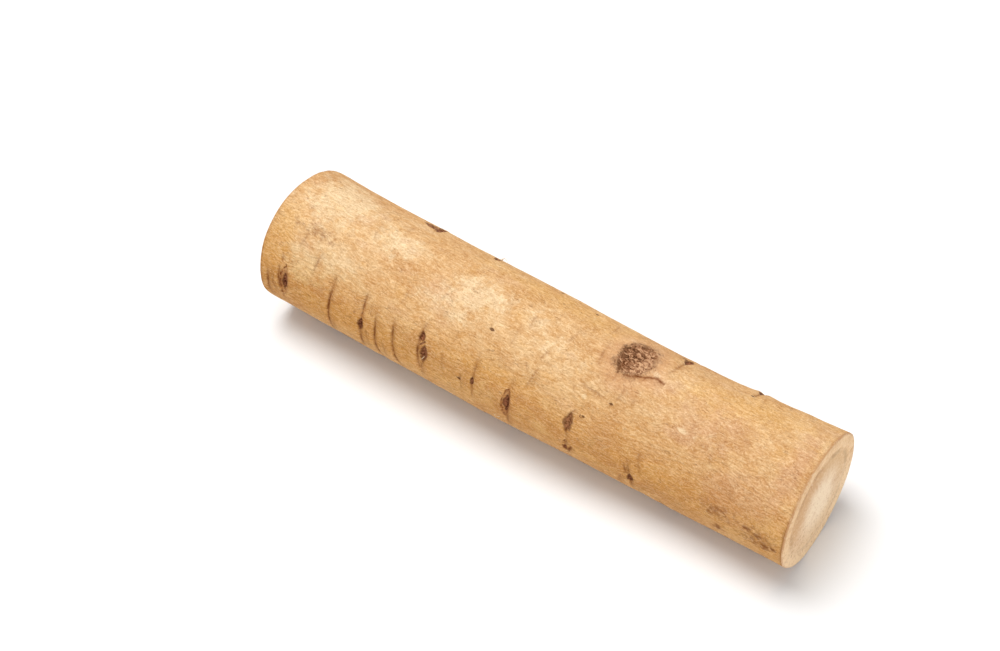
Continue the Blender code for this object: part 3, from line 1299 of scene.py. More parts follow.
    def lines(self, board: Board, place: Socket) -> tuple[Socket, Socket]:
        """Read the folds and cracks that the mesh carries.

        Args:
            board: The material's board.
            place: Place on the object.

        Returns:
            The sharp line, partly painted shade of a fold's groove, and the painted shade on
            one side of it.
        """
        force = board.attribute("crease_force")
        wander = board.wander(place, scale=700.0, detail=4.0, roughness=0.65)
        gap = board.maths("ADD", board.attribute("crease_gap"), wander)
        uneven = board.noise(place, scale=300.0, detail=4.0, roughness=0.65)
        uneven = board.band(uneven, 0.30, 0.66)
        width = board.maths("DIVIDE", board.maths("ABSOLUTE", gap),
                            board.plus(0.5, uneven, 0.7))
        line = board.times(board.band(width, 0.55, 0.0), force, uneven)
        # Painted shade on one side of the line
        beside = board.times(board.band(gap, -0.9, 0.1), board.band(gap, 2.4, 0.0))
        return board.maths("MINIMUM", line, 1.0), board.times(force, beside, self.fold_shade_force)

    def scars(self, board: Board, colour: Socket, place: Socket
              ) -> tuple[Socket, Socket]:
        """Paint the side-root scars.

        Args:
            board: The material's board.
            colour: The bark so far.
            place: Place on the object.

        Returns:
            The colour, and a mask of the dark cores.
        """
        across, along, window = board.split(board.attribute("scar_place", "Vector"))
        core, outline, darkness = board.split(board.attribute("scar_look", "Vector"))
        wander = board.wander(place, scale=1100.0, detail=4.0, roughness=0.7)
        drift = board.wander(place, scale=480.0)
        across = board.plus(board.plus(across, wander, 0.75), drift, 0.8)
        along = board.plus(along, drift, 0.5)
        round_way = board.times(along, along)

        # The skin inside the lens, and the lens's broken outline on its left
        lens = board.maths("ADD", board.maths("ABSOLUTE", across), round_way)
        colour = board.lay(colour, self.scar_skin, board.band(lens, 1.6, 0.5), window,
                           outline, self.lens_force)
        broken = board.noise(place, scale=620.0, detail=4.0, roughness=0.7)
        broken = board.times(board.band(broken, 0.36, 0.58), board.band(across, 1.4, -0.5))
        line = board.band(board.gap_to(lens, 1.0), 0.30, 0.0)
        colour = board.lay(colour, self.crease_line, line, window, broken, outline)

        # The dark core, with a darker rim and a paler grain
        sideways = board.maths("ABSOLUTE", board.plus(across, wander, 0.5))
        slimness = board.plus(0.9, board.times(outline, outline), 1.1)
        ratio = board.maths("DIVIDE", board.plus(sideways, round_way, slimness),
                            board.maths("MAXIMUM", core, 0.01))
        dark = board.times(board.band(ratio, 1.45, 0.6), window, darkness)
        off_rim = board.band(board.gap_to(ratio, 0.95), 0.0, 0.6)
        grain = board.noise(place, scale=1700.0, detail=3.0, roughness=0.6)
        grain = board.times(board.band(grain, 0.36, 0.60), board.plus(0.3, off_rim, 0.7),
                            board.band(outline, 0.0, 0.2))
        tone = board.lay(self.scar_core, self.scar_skin, grain, self.core_grain)
        return board.blend(dark, colour, tone), dark

    def knots(self, board: Board, colour: Socket, place: Socket
              ) -> tuple[Socket, Socket]:
        """Paint the rough healed stumps.

        Args:
            board: The material's board.
            colour: The bark so far.
            place: Place on the object.

        Returns:
            The colour, and the roughness height inside the stumps.
        """
        across, along, window = board.split(board.attribute("knot_place", "Vector"))
        sideways = board.plus(across, along, 0.08)
        round_way = board.times(along, 0.88)
        squared = board.plus(board.times(round_way, round_way), sideways, sideways)
        ragged = board.wander(place, scale=520.0, detail=6.0, roughness=0.8)
        reach = board.plus(board.maths("SQRT", squared), ragged, 1.5)
        inside = board.times(board.band(reach, 1.25, 0.80), window)
        colour = board.lay(colour, self.rosy, board.band(reach, 2.4, 1.0), window,
                           self.bruise_force)

        # The plate's curled strokes, darker in some zones than in others
        long_place = board.vector("MULTIPLY", place, self.lengthwise)
        strokes = board.noise(long_place, scale=1500.0, detail=5.0, roughness=0.75,
                              distortion=0.9)
        zones = board.wander(place, scale=380.0)
        tone = board.plus(board.plus(strokes, across, 0.05), zones, 0.22)
        paint = board.ramp(tone, (
            (0.40, self.knot_dark), (0.50, self.knot_middle), (0.60, self.knot_light),
        ))
        colour = board.lay(colour, paint, inside, board.band(tone, 0.82, 0.48),
                           self.plate_force)

        # Its broken outline, and dots in the skin round it
        rim = board.band(board.gap_to(reach, 0.95), 0.14, 0.0)
        broken = board.band(board.noise(place, scale=260.0), 0.46, 0.58)
        colour = board.lay(colour, self.knot_dark, rim, window, broken, self.rim_force)
        dots = board.band(board.noise(place, scale=2100.0, roughness=0.6), 0.58, 0.66)
        colour = board.lay(colour, self.knot_middle, dots, board.band(reach, 2.1, 1.1),
                           window, self.dot_force)
        return colour, board.times(inside, strokes)

    def edges(self, board: Board, colour: Socket, place: Socket) -> Socket:
        """Paint shade on the bark beside the cuts, stronger on the sides.

        Args:
            board: The material's board.
            colour: The bark so far.
            place: Place on the object.

        Returns:
            The colour.
        """
        # Painted shade by each cut, stronger where the sides carry painted shade
        wander = board.wander(place, scale=400.0, detail=4.0, roughness=0.6)
        gap = board.plus(board.attribute("rim_gap"), wander, 2.2)
        force = board.plus(0.22, board.attribute("shaded"), 0.40)
        return board.lay(colour, self.edge, board.band(gap, 1.3, 0.1), force)


@dataclass(frozen=True)
class FleshFinish:
    """Pale cut flesh: cream cortex, tan line of growth and a bright fibrous core.

    Attributes:
        cortex: Ring inside the bark.
        growth_line: Line between the cortex and the core.
        core: Outer part of the core.
        heart: Middle of the core.
        tan: Blotches, streaks and specks.
        skin: Bark's edge on the cut.
        speck: Dark dots low on the cut.
        growth_place: Place of the growth line, as a share of the radius.
        roughness: Middle of the roughness.
        swing: Span of the roughness.
        specular: Specular level.
        ray_stretch: Streaks round the cut, and along its rays.
        blotch_force: Strength of the blotches.
        streak_force: Strength of the streaks.
        growth_force: Strength of the growth line.
        groove_shade_force: Strength of the painted shade of the groove, a tan band on the
            front.
        bloom_force: Strength of the pale tone low on the cut.
        speck_force: Strength of the tan specks.
        light_force: Strength of the pale specks.
        dot_force: Strength of the dark dots.
        speck_bump: Height of the specks, in millimetres.
        streak_bump: Height of the streaks.
    """

    cortex: Colour = srgb(231, 194, 148)
    growth_line: Colour = srgb(166, 128, 86)
    core: Colour = srgb(215, 177, 131)
    heart: Colour = srgb(241, 217, 185)
    tan: Colour = srgb(192, 142, 98)
    skin: Colour = srgb(190, 142, 98)
    speck: Colour = srgb(122, 74, 46)
    growth_place: float = 0.745
    roughness: float = 0.6
    swing: float = 0.2
    specular: float = 0.12
    ray_stretch: Triple = (20.0, 20.0, 3.0)
    blotch_force: float = 0.45
    streak_force: float = 0.40
    growth_force: float = 0.66
    groove_shade_force: float = 0.42
    bloom_force: float = 0.35
    speck_force: float = 0.48
    light_force: float = 0.40
    dot_force: float = 0.60
    speck_bump: float = 0.05
    streak_bump: float = 0.08

    def material(self) -> bpy.types.Material:
        """Build the cut flesh.

        Returns:
            The material.
        """
        material, board, shader = new_finish("burdock_flesh", self.specular)
        place = board.place()
        ray = board.attribute("cut_ray", "Vector")
        upward, forward, share = board.split(ray)
        share = board.plus(share, board.wander(place, scale=160.0, detail=3.0), 0.07)
        streaks = board.noise(board.vector("MULTIPLY", ray, self.ray_stretch), scale=1.0,
                              detail=3.0, roughness=0.6)
        specks = board.noise(place, scale=1500.0, detail=4.0, roughness=0.7)
        colour = self.rings(board, place, share, streaks)
        colour = self.groove_shade_and_specks(board, colour, share, upward, forward, specks)
        rough = board.plus(self.roughness - self.swing / 2.0, specks, self.swing)
        height = board.plus(board.times(specks, self.speck_bump), streaks, self.streak_bump)
        dress(board, shader, colour, rough, height)
        return material

    def rings(self, board: Board, place: Socket, share: Socket, streaks: Socket) -> Socket:
        """Paint the rings of the cut, its blotches and its rays.

        Args:
            board: The material's board.
            place: Place on the object.
            share: Share of the radius.
            streaks: Tone of the rays.

        Returns:
            The colour.
        """
        colour = board.ramp(share, (
            (0.0, self.heart), (0.30, self.heart), (0.62, self.core), (0.82, self.cortex),
            (0.965, self.cortex), (0.995, self.skin),
        ))
        blotches = board.noise(place, scale=130.0, detail=4.0, roughness=0.6)
        colour = board.lay(colour, self.tan, board.band(blotches, 0.50, 0.70),
                           self.blotch_force)
        colour = board.lay(colour, self.tan, board.band(streaks, 0.50, 0.68),
                           self.streak_force, board.band(share, 0.10, 0.45))
        line = board.band(board.gap_to(share, self.growth_place), 0.08, 0.0)
        uneven = board.noise(place, scale=150.0, detail=4.0, roughness=0.6)
        return board.lay(colour, self.growth_line, line, self.growth_force,
                         board.band(uneven, 0.30, 0.62))

    def groove_shade_and_specks(self, board: Board, colour: Socket, share: Socket, upward: Socket,
                   forward: Socket, specks: Socket) -> Socket:
        """Add the painted shade of the groove as a tan band on the front, the pale lower part
        and the specks.

        Args:
            board: The material's board.
            colour: The flesh so far.
            share: Share of the radius.
            upward: How far the ray points up.
            forward: How far the ray points to the front.
            specks: Tone of the specks.

        Returns:
            The colour.
        """
        # Painted shade: a tan band on the front of the cut, inside the growth groove
        front = board.band(board.plus(forward, upward, 0.5), -0.3, 0.9)
        colour = board.lay(colour, self.tan, front, board.band(share, 0.20, 0.62),
                           board.band(share, 0.86, 0.76), self.groove_shade_force)
        low = board.times(board.band(upward, 0.25, -0.55), board.band(share, 0.12, 0.40))
        for tint, masks in (
            (self.heart, (low, self.bloom_force)),
            (self.tan, (board.band(specks, 0.52, 0.66), self.speck_force)),
            (self.heart, (board.band(specks, 0.48, 0.34), self.light_force)),
            (self.speck, (board.band(specks, 0.58, 0.68), low, self.dot_force)),
        ):
            colour = board.lay(colour, tint, *masks)
        return colour


@dataclass
class MarkMap:
    """The marks that the bark's mesh carries for its finish.

    Attributes:
        form: The root's form.
        line_reach: Distance from a fold within which it counts.
        scar_reach: Distance from a scar's middle within which it counts, 1 being its outline.
        far: Distance that stands for no mark near.
        twist: Turn of the fibres for each millimetre of root, radians.
        prick_shape: Size of a pinprick along the root and round it.
        prick_depth: Depth of a pinprick.
        shaded_turns: Degrees from the top at which shaded_forces are given.
        shaded_forces: Strength there of the painted side shade, eased on the underside as
            painted bounce light from the floor.
        scrubbed_and_bounce_light: Patches where the felt was brushed off, and two patches of
            painted bounce light low on the front.
        golden: Yellow patches.
        rosy: Reddish patches.
        stained: Brown patches.
    """

    form: RootForm
    line_reach: float = 1.6
    scar_reach: float = 3.0
    far: float = 9.0
    twist: float = -0.001
    prick_shape: Pair = (1.25, 0.75)
    prick_depth: float = 0.1
    shaded_turns: tuple[float, ...] = (0.0, 30.0, 50.0, 72.0, 92.0, 112.0, 150.0, 180.0)
    shaded_forces: tuple[float, ...] = (0.0, 0.05, 0.45, 1.0, 1.0, 0.6, 0.5, 0.5)
    scrubbed_and_bounce_light: tuple[Patch, ...] = (
        Patch(-66.0, -12.0, 22.0, 24.0, 0.85),
        Patch(-47.4, 1.5, 16.0, 9.0, 0.9),
        Patch(-59.0, 39.0, 18.0, 9.0, 0.75),
        Patch(-28.0, 28.0, 22.0, 8.0, 0.60),
        Patch(-20.0, 8.0, 22.0, 12.0, 0.8),
        Patch(4.0, 15.0, 20.0, 9.0, 0.42),
        Patch(26.4, 17.0, 8.0, 4.0, 0.3),
        Patch(-3.5, 2.0, 12.0, 6.0, 0.5),
        Patch(12.0, 18.0, 9.0, 6.0, 0.42),
        # Two patches of painted bounce light from the floor, low on the front
        Patch(-9.0, 76.0, 9.0, 7.0, 0.55),
        Patch(24.0, 78.0, 9.0, 7.0, 0.4),
        Patch(-67.0, 54.0, 18.0, 14.0, 0.7),
        Patch(30.8, -3.4, 1.6, 1.3, 1.3),
        Patch(17.4, 40.5, 1.2, 1.2, 1.3),
        Patch(44.0, 30.0, 3.0, 1.6, 1.0),
        Patch(52.0, 26.0, 12.0, 5.0, 0.3),
        Patch(-50.0, -100.0, 24.0, 14.0, 0.8),
        Patch(20.0, -90.0, 30.0, 12.0, 0.8),
        Patch(60.0, -150.0, 22.0, 14.0, 0.7),
        Patch(-20.0, 160.0, 30.0, 12.0, 0.6),
    )
    golden: tuple[Patch, ...] = (
        Patch(-76.0, 50.0, 11.0, 30.0, 0.9),
        Patch(-48.0, 86.0, 56.0, 12.0, 0.8),
        Patch(48.0, -6.0, 26.0, 14.0, 0.85),
        Patch(-8.0, 60.0, 40.0, 10.0, 0.7),
        Patch(0.0, -30.0, 60.0, 12.0, 0.7),
        Patch(60.0, -20.0, 36.0, 16.0, 0.7),
        Patch(40.0, 80.0, 36.0, 10.0, 0.6),
        Patch(-70.0, -140.0, 16.0, 30.0, 0.8),
    )
    rosy: tuple[Patch, ...] = (
        Patch(44.5, 33.0, 12.0, 6.0, 0.9),
        Patch(34.0, 4.0, 12.0, 8.0, 0.8),
        Patch(48.0, 14.0, 32.0, 26.0, 0.6),
        Patch(-30.0, 20.0, 16.0, 9.0, 0.6),
        Patch(64.0, 62.0, 22.0, 18.0, 0.95),
        Patch(74.0, 20.0, 8.0, 34.0, 0.8),
        Patch(-10.0, -110.0, 20.0, 14.0, 0.7),
        Patch(50.0, 170.0, 26.0, 16.0, 0.7),
    )
    stained: tuple[Patch, ...] = (
        Patch(71.5, 87.0, 15.0, 9.0, 0.58),
        Patch(74.6, 93.0, 3.2, 2.6, 1.25),
        Patch(77.2, 90.5, 1.8, 1.8, 1.25),
        Patch(72.4, 84.5, 2.6, 1.8, 1.1),
        Patch(68.8, 82.0, 2.4, 1.6, 1.0),
        Patch(60.5, 80.0, 12.0, 7.0, 0.58),
        Patch(61.4, 78.5, 3.0, 2.0, 0.75),
        Patch(57.8, 85.0, 2.0, 2.4, 0.7),
        Patch(60.8, 100.0, 3.0, 2.6, 0.9),
        Patch(-65.5, 25.5, 13.0, 4.0, 0.58),
        Patch(-72.6, 26.0, 6.0, 3.0, 0.48),
        Patch(-30.0, -118.0, 10.0, 12.0, 0.6),
        Patch(58.0, -130.0, 12.0, 9.0, 0.7),
        Patch(-60.0, 150.0, 14.0, 8.0, 0.7),
    )

    def line_fields(self, x: Array, angle: Array, arc_mm: Array) -> tuple[Array, Array]:
        """Find the strongest fold or crack at each point.

        Args:
            x: Places along the root.
            angle: Angles round the root.
            arc_mm: Radius at the points.

        Returns:
            Signed distance from it, and its strength.
        """
        gap = np.full_like(x, self.far)
        force = np.zeros_like(x)
        for line in self.form.lines():
            off, strength = line.trace(x, angle, arc_mm)
            reach = strength * line.ink * np.exp(-((off / self.line_reach) ** 2))
            stronger = reach > force
            gap = np.where(stronger, off, gap)
            force = np.where(stronger, reach, force)
        return gap, force

    def scar_fields(self, scars: Iterable[Scar], x: Array, angle: Array, arc_mm: Array
                    ) -> tuple[Array, Array]:
        """Find the scar that each point belongs to.

        Args:
            scars: The scars.
            x: Places along the root.
            angle: Angles round the root.
            arc_mm: Radius at the points.

        Returns:
            The scar's own coordinates with a window of 1 inside its reach, and its look.
        """
        place = np.tile((self.far, self.far, 0.0), (len(x), 1))
        look = np.zeros((len(x), 3))
        nearest = np.full_like(x, self.scar_reach)
        for scar in scars:
            across, along = scar.place(x, angle, arc_mm)
            distance = np.hypot(across, along)
            closer = distance < nearest
            nearest = np.where(closer, distance, nearest)
            window = np.clip(self.scar_reach - distance, 0.0, 1.0)
            own = np.stack((across, along, window), axis=1)
            place = np.where(closer[:, None], own, place)
            kind = scar.kind.value
            look = np.where(closer[:, None], (kind.core, kind.outline, kind.darkness), look)
        return place, look

    def pinprick_scars(self) -> tuple[Scar, ...]:
        """The pinpricks, as tiny scars."""
        width, length = self.prick_shape
        return tuple(Scar(x, angle, width * size, length * size, 0.0, self.prick_depth,
                          ScarKind.PIT) for x, angle, size in PINPRICKS)

    def patch_field(self, patches: Iterable[Patch], x: Array, angle: Array,
                    arc_mm: Array) -> Array:
        """Find the strongest patch of one tone at each point.

        Args:
            patches: The patches.
            x: Places along the root.
            angle: Angles round the root.
            arc_mm: Radius at the points.

        Returns:
            The tone's strength.
        """
        strongest = np.zeros_like(x)
        for patch in patches:
            strongest = np.maximum(strongest, patch.strength(x, angle, arc_mm))
        return strongest

    def write(self, mesh: bpy.types.Mesh, rim_gap: Array, x: Array, angle: Array,
              share: Array) -> None:
        """Write every mark into the mesh.

        Args:
            mesh: The root's mesh.
            rim_gap: Distance of its vertices from the nearer cut.
            x: True places along the root of its vertices.
            angle: Their angles.
            share: Their shares of the radius.
        """
        arc_mm = self.form.read_along(x, self.form.radius)
        gap, force = self.line_fields(x, angle, arc_mm)
        scars = self.form.scars() + self.pinprick_scars()
        scar_place, scar_look = self.scar_fields(scars, x, angle, arc_mm)
        knot_place, _ = self.scar_fields(KNOTS, x, angle, arc_mm)
        turn = np.radians(angle)
        write_numbers(mesh, "crease_gap", gap)
        write_numbers(mesh, "crease_force", force)
        write_vectors(mesh, "scar_place", scar_place)
        write_vectors(mesh, "scar_look", scar_look)
        write_vectors(mesh, "knot_place", knot_place)
        for name, patches in (("scrubbed_and_bounce_light", self.scrubbed_and_bounce_light), ("golden", self.golden),
                              ("rosy", self.rosy), ("stained", self.stained)):
            write_numbers(mesh, name, self.patch_field(patches, x, angle, arc_mm))
        write_numbers(mesh, "shaded", self.shaded(angle))
        write_vectors(mesh, "cut_ray", np.stack((np.cos(turn), np.sin(turn), share), axis=1))
        write_numbers(mesh, "rim_gap", rim_gap)
        wound = turn + self.twist * x
        reach = arc_mm * share
        way = np.stack((x, reach * np.cos(wound), reach * np.sin(wound)), axis=1)
        write_vectors(mesh, "grain_way", way * MM)

    def shaded(self, angle: Array) -> Array:
        """Deeper tone of the sides: painted shade, strongest low on the front and eased below
        that as painted bounce light from the floor, partly the sides' own deeper ochre.

        Args:
            angle: Angles round the root.

        Returns:
            Strength from 0 to 1.
        """
        off_top = np.abs(turn_between(angle, 0.0))
        return np.interp(off_top, self.shaded_turns, self.shaded_forces)


def write_numbers(mesh: bpy.types.Mesh, name: str, values: Array) -> None:
    """Give the mesh a number at each vertex.

    Args:
        mesh: The mesh.
        name: The attribute's name.
        values: One number for each vertex.
    """
    layer = mesh.attributes.new(name, "FLOAT", "POINT")
    layer.data.foreach_set("value", np.ascontiguousarray(values, dtype=np.float32))


def write_vectors(mesh: bpy.types.Mesh, name: str, values: Array) -> None:
    """Give the mesh a vector at each vertex.

    Args:
        mesh: The mesh.
        name: The attribute's name.
        values: Three numbers for each vertex.
    """
    layer = mesh.attributes.new(name, "FLOAT_VECTOR", "POINT")
    layer.data.foreach_set("vector", np.ascontiguousarray(values.ravel(), dtype=np.float32))


@dataclass
class BurdockRoot:
    """The root as one closed skin: bark and both cut faces.

    Attributes:
        form: Its shape.
        sides: Faces round it.
        ring_count: Rings of faces along the bark.
        face_rings: Rings of faces on each cut.
        crowding: How much closer the rings are by a mark than elsewhere.
        crowd_reach: Distance from a mark within which the rings are closer.
        samples: Places along the bark at which the crowding is worked out.
        rim_shares: Shares of the radius of the last rings on a cut.
        layers: Height of each layer of fine relief, and its bumps for each millimetre
            along the root and across it.
    """

    form: RootForm
    sides: int = 264
    ring_count: int = 322
    face_rings: int = 22
    crowding: float = 0.9
    crowd_reach: float = 3.0
    samples: int = 4000
    rim_shares: Pair = (0.982, 0.993)
    layers: tuple[Triple, ...] = ((0.10, 0.14, 0.22), (0.05, 0.20, 0.75), (0.03, 0.60, 1.30))

    def ring_places(self) -> Array:
        """Places of the rings along the bark, closer together by folds and scars.

        Returns:
            The places, from the left cut to the right one.
        """
        fine = np.linspace(self.form.left_cut, self.form.right_cut, self.samples)
        crowd = np.zeros_like(fine)
        for mark in self.form.creases() + self.form.scars() + KNOTS:
            near = np.exp(-(((fine - mark.x) / self.crowd_reach) ** 2))
            crowd = np.maximum(crowd, near)
        count = np.cumsum(1.0 + self.crowding * crowd)
        count = (count - count[0]) / (count[-1] - count[0])
        return np.interp(np.linspace(0.0, 1.0, self.ring_count + 1), count, fine)

    def face_shares(self) -> Array:
        """Shares of the radius of the rings on a cut face, from the middle outwards.

        Returns:
            The shares, the last one just inside the rim.
        """
        even = np.linspace(0.0, self.form.rim_share, self.face_rings - len(self.rim_shares))
        return np.concatenate((even, self.rim_shares))

    def draw_roller(self, bm: bmesh.types.BMesh) -> None:
        """Spin the root's outline about X into a plain closed roller of radius 1.

        Args:
            bm: The mesh to draw in.
        """
        places = self.ring_places()
        shares = self.face_shares()
        outline = [(places[0], share) for share in shares]
        outline += [(place, 1.0) for place in places]
        outline += [(places[-1], share) for share in shares[::-1]]
        verts = [bm.verts.new((x, 0.0, share)) for x, share in outline]
        edges = [bm.edges.new(pair) for pair in zip(verts, verts[1:])]
        bmesh.ops.spin(bm, geom=verts + edges, cent=(0.0, 0.0, 0.0), axis=(1.0, 0.0, 0.0),
                       dvec=(0.0, 0.0, 0.0), angle=2.0 * math.pi, steps=self.sides,
                       use_merge=True, use_duplicate=False)
        poles = [v for v in bm.verts if math.hypot(v.co.y, v.co.z) < 1e-6]
        bmesh.ops.remove_doubles(bm, verts=poles, dist=1e-5)
        bmesh.ops.recalc_face_normals(bm, faces=bm.faces[:])

    def fine_relief(self, x: Array, angle: Array, share: Array) -> Array:
        """Uneven skin, lengthwise ridges and grain, as on dry bark and cut flesh.

        Args:
            x: True places along the root.
            angle: Angles round the root.
            share: Shares of the radius.

        Returns:
            Height in millimetres.
        """
        turn = np.radians(angle)
        reach = self.form.read_along(x, self.form.radius) * share
        y, z = -np.sin(turn) * reach, np.cos(turn) * reach
        height = np.zeros_like(x)
        for size, along, across in self.layers:
            seats = np.stack((x * along, y * across, z * across), axis=1)
            height += size * np.array([noise.noise(Vector(seat)) for seat in seats])
        return height

    def build(self, finishes: Sequence[bpy.types.Material]) -> bpy.types.Object:
        """Model the root and dress it.

        Args:
            finishes: The bark's and the flesh's materials.

        Returns:
            The root's object.
        """
        bm = bmesh.new()
        self.draw_roller(bm)
        mesh = mesh_of(bm, "root_skin")
        plain = np.empty(len(mesh.vertices) * 3, dtype=np.float32)
        mesh.vertices.foreach_get("co", plain)
        plain = plain.reshape(-1, 3).astype(float)
        x = plain[:, 0]
        share = np.minimum(np.hypot(plain[:, 1], plain[:, 2]), 1.0)
        angle = np.degrees(np.arctan2(-plain[:, 1], plain[:, 2]))
        true_x = self.form.true_places(x, angle, share)
        fine = self.fine_relief(true_x, angle, share)
        points = self.form.points(x, angle, share, fine) * MM
        mesh.vertices.foreach_set("co", np.ascontiguousarray(points.ravel(), np.float32))
        rim_gap = np.minimum(x - self.form.left_cut, self.form.right_cut - x)
        MarkMap(self.form).write(mesh, rim_gap, true_x, angle, share)
        for finish in finishes:
            mesh.materials.append(finish)
        self.part_finishes(mesh, x)
        mesh.shade_smooth()
        mesh.update()
        return put_in_scene("root_skin", mesh)

    def part_finishes(self, mesh: bpy.types.Mesh, x: Array) -> None:
        """Give the cut faces the second finish.

        Args:
            mesh: The root's mesh.
            x: Places of its vertices on the plain roller.
        """
        on_cut = self.form.cut_side(x) != 0.0
        for face in mesh.polygons:
            corners = list(face.vertices)
            face.material_index = int(all(on_cut[corners]))


@dataclass(frozen=True)
class HairFinish:
    """Pale dry rootlet hair.

    Attributes:
        colour: Its pale tone.
        shade: Its darker tone.
        roughness: Roughness.
        specular: Specular level.
    """

    colour: Colour = srgb(236, 216, 180)
    shade: Colour = srgb(190, 150, 104)
    roughness: float = 0.6
    specular: float = 0.5

    def material(self) -> bpy.types.Material:
        """Build the hair.

        Returns:
            The material.
        """
        material, board, shader = new_finish("rootlet_hair", self.specular)
        tone = board.noise(board.place(), scale=900.0)
        colour = board.blend(board.band(tone, 0.4, 0.65), self.colour, self.shade)
        board.feed(shader.inputs["Base Color"], colour)
        board.feed(shader.inputs["Roughness"], self.roughness)
        return material


@dataclass(frozen=True)
class Hair:
    """One fine rootlet that springs from the bark and bends over.

    Attributes:
        x: Place of its root.
        angle: Angle of its root.
        length: Its length.
        heading: Direction that it bends to, degrees from +X towards growing angle.
        curl: Degrees that it turns over its length.
    """

    x: float
    angle: float
    length: float
    heading: float
    curl: float


@dataclass
class Rootlets:
    """The few fine rootlets that the scrubbing left.

    Attributes:
        form: The root's form.
        hairs: The rootlets.
        radius: Radius of a rootlet at its root.
        taper: Share of that radius that its tip has lost.
        sunk: Depth in the bark from which a rootlet rises.
        rise: Height of its bend over that depth.
        bend: Start and length of the bend, in half waves.
        steps: Rings along a rootlet.
        sides: Faces round a rootlet.
    """

    form: RootForm
    hairs: tuple[Hair, ...] = (
        Hair(-23.6, -48.0, 3.2, 40.0, 150.0),
        Hair(-3.4, 101.0, 3.4, 150.0, 260.0),
        Hair(-24.4, -52.0, 2.0, -60.0, 60.0),
        Hair(-27.0, 77.0, 1.6, 100.0, 80.0),
        Hair(34.6, -120.0, 3.4, 30.0, 120.0),
        Hair(-27.6, -112.0, 3.0, 200.0, 150.0),
        Hair(6.0, -100.0, 2.4, 120.0, 100.0),
        Hair(44.0, 136.0, 2.2, 300.0, 140.0),
    )
    radius: float = 0.09
    taper: float = 0.75
    sunk: float = 0.15
    rise: float = 0.9
    bend: Pair = (0.1, 0.8)
    steps: int = 12
    sides: int = 6

    def surface(self, x: float, angle: float, lift: float) -> Vector:
        """Find a point over the bark.

        Args:
            x: Place along the root.
            angle: Angle round the root.
            lift: Height over the bark.

        Returns:
            The point in millimetres.
        """
        row = (np.array([x]), np.array([angle]), np.array([1.0]), np.array([lift]))
        return Vector(self.form.points(*row)[0])

    def path(self, hair: Hair) -> list[Vector]:
        """Work out a rootlet's line over the bark.

        Args:
            hair: The rootlet.

        Returns:
            Its points in millimetres, from its root outwards.
        """
        x, angle, heading = hair.x, hair.angle, hair.heading
        stride = hair.length / self.steps
        arc_mm = float(self.form.read_along(np.array([x]), self.form.radius)[0])
        degree_mm = math.radians(1.0) * arc_mm
        start, length = self.bend
        points = []
        for step in range(self.steps + 1):
            wave = math.sin(math.pi * (start + length * step / self.steps))
            points.append(self.surface(x, angle, self.rise * wave - self.sunk))
            x += stride * math.cos(math.radians(heading))
            angle += stride * math.sin(math.radians(heading)) / degree_mm
            heading += hair.curl / self.steps
        return points

    def draw(self, bm: bmesh.types.BMesh, points: Sequence[Vector]) -> None:
        """Extrude a ring along a line into a tapering tube with closed ends.

        Args:
            bm: The mesh to draw in.
            points: The line, in millimetres.
        """
        headings = [(b - a).normalized() for a, b in zip(points, points[1:])]
        headings.append(headings[-1])
        made = bmesh.ops.create_circle(bm, segments=self.sides, radius=1.0, cap_ends=True)
        ring = made["verts"]
        faces = list(ring[0].link_faces)
        rest = [vert.co.copy() for vert in ring]
        for index, (point, heading) in enumerate(zip(points, headings)):
            size = self.radius * (1.0 - self.taper * index / self.steps) * MM
            turn = heading.to_track_quat("Z", "Y").to_matrix().to_4x4()
            seat = Matrix.Translation(point * MM) @ turn
            if index:
                grown = bmesh.ops.extrude_face_region(bm, geom=faces)["geom"]
                bmesh.ops.delete(bm, geom=faces, context="FACES_ONLY")
                faces = [item for item in grown if isinstance(item, bmesh.types.BMFace)]
                ring = [item for item in grown if isinstance(item, bmesh.types.BMVert)]
            for vert, corner in zip(ring, rest):
                vert.co = seat @ (corner * size)

    def build(self, finish: bpy.types.Material) -> bpy.types.Object:
        """Model the rootlets and dress them.

        Args:
            finish: The hair's material.

        Returns:
            The rootlets' object.
        """
        bm = bmesh.new()
        for hair in self.hairs:
            self.draw(bm, self.path(hair))
        bmesh.ops.recalc_face_normals(bm, faces=bm.faces[:])
        mesh = mesh_of(bm, "rootlets")
        mesh.materials.append(finish)
        mesh.shade_smooth()
        return put_in_scene("rootlets", mesh)


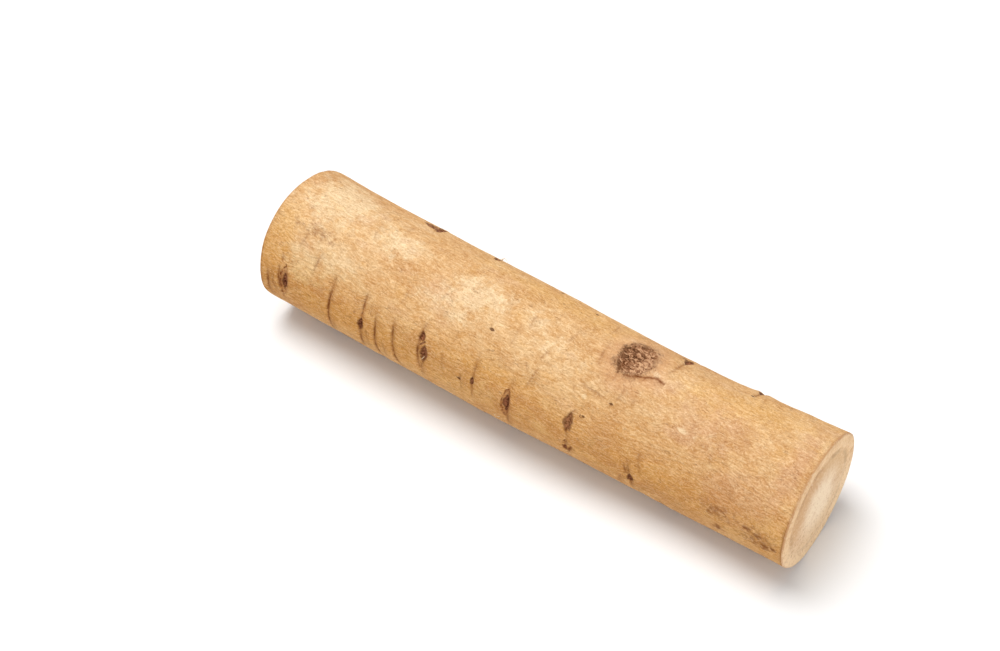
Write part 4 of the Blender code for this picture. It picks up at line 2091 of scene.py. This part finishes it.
@dataclass
class Studio:
    """The pale floor, the soft lights and the camera.

    Attributes:
        target: The point that the camera looks at, in millimetres.
        azimuth: Camera's turn round the root, degrees.
        elevation: Camera's height over the horizon, degrees.
        distance: Camera's distance from the target, millimetres.
        focal_px: Focal length in pixels of the photograph.
        photo_width: The photograph's width in pixels.
        sensor: Width of the camera's sensor, millimetres.
        clip_start: Distance at which the camera begins to see, metres.
        floor_size: Side of the floor, metres.
        floor_colour: Colour of the floor.
        floor_roughness: Roughness of the floor.
        floor_specular: Specular level of the floor.
        sky_colour: Colour of the surroundings.
        sky_strength: Strength of the surroundings.
        lamps: Name, place, size and power of each lamp, in metres and watts.
    """

    target: Triple = (-17.83, 3.15, 17.65)
    azimuth: float = 33.07
    elevation: float = 54.0
    distance: float = 900.0
    focal_px: float = 3450.0
    photo_width: float = 1000.0
    sensor: float = 36.0
    clip_start: float = 0.01
    floor_size: float = 6.0
    floor_colour: Colour = (0.86, 0.86, 0.86, 1.0)
    floor_roughness: float = 0.9
    floor_specular: float = 0.1
    sky_colour: Colour = (1.0, 1.0, 1.0, 1.0)
    sky_strength: float = 0.49
    lamps: tuple[tuple[str, Triple, float, float], ...] = (
        ("key_light", (-0.30, 0.06, 1.10), 0.8, 12.2),
        ("fill_light", (1.1, -0.45, 0.55), 0.8, 4.6),
    )

    def add_floor(self) -> bpy.types.Object:
        """Lay the floor.

        Returns:
            The floor.
        """
        material, board, shader = new_finish("pale_floor", self.floor_specular)
        board.feed(shader.inputs["Base Color"], self.floor_colour)
        board.feed(shader.inputs["Roughness"], self.floor_roughness)
        bm = bmesh.new()
        bmesh.ops.create_grid(bm, x_segments=2, y_segments=2, size=self.floor_size / 2.0)
        mesh = mesh_of(bm, "floor")
        mesh.materials.append(material)
        return put_in_scene("floor", mesh)

    def add_lights(self) -> None:
        """Hang the soft lights and set the pale surroundings."""
        world = bpy.data.worlds.new("studio")
        world.use_nodes = True
        sky = world.node_tree.nodes["Background"]
        sky.inputs["Color"].default_value = self.sky_colour
        sky.inputs["Strength"].default_value = self.sky_strength
        bpy.context.scene.world = world
        aim = Vector((0.0, 0.0, self.target[2] * MM))
        for name, seat, size, power in self.lamps:
            light = bpy.data.lights.new(name, "AREA")
            light.shape = "DISK"
            light.size = size
            light.energy = power
            lamp = put_in_scene(name, light)
            lamp.location = seat
            lamp.rotation_euler = (aim - Vector(seat)).to_track_quat("-Z", "Y").to_euler()

    def add_camera(self) -> None:
        """Set the camera at the photograph's viewing angle."""
        turn, lift = math.radians(self.azimuth), math.radians(self.elevation)
        back = Vector((math.sin(turn) * math.cos(lift), -math.cos(turn) * math.cos(lift),
                       math.sin(lift)))
        lens = bpy.data.cameras.new("camera")
        lens.sensor_width = self.sensor
        lens.lens = self.focal_px * self.sensor / self.photo_width
        lens.clip_start = self.clip_start
        camera = put_in_scene("camera", lens)
        camera.location = (Vector(self.target) + back * self.distance) * MM
        camera.rotation_euler = back.to_track_quat("Z", "Y").to_euler()
        bpy.context.scene.camera = camera

    def build(self) -> bpy.types.Object:
        """Set up the studio.

        Returns:
            The floor.
        """
        bpy.context.scene.view_settings.view_transform = "Standard"
        self.add_camera()
        self.add_lights()
        return self.add_floor()


def report(piece: bpy.types.Object) -> None:
    """Report a finished piece.

    Args:
        piece: The piece.
    """
    log.info("%s: %d faces, %.1f x %.1f x %.1f mm", piece.name, len(piece.data.polygons),
             *(side / MM for side in piece.dimensions))


def main() -> None:
    """Build the root, its rootlets and the studio."""
    logging.basicConfig(level=logging.INFO, format="%(name)s: %(message)s")
    groups = {"fibres": fibre_group(), "blotches": blotch_group()}
    floor = Studio().build()
    report(floor)
    form = RootForm()
    finishes = (BarkFinish().material(groups), FleshFinish().material())
    root = BurdockRoot(form).build(finishes)
    rootlets = Rootlets(form).build(HairFinish().material())
    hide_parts(NODE)
    for piece in (root, rootlets):
        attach(piece, BODY)
        report(piece)


if __name__ == "__main__":
    main()
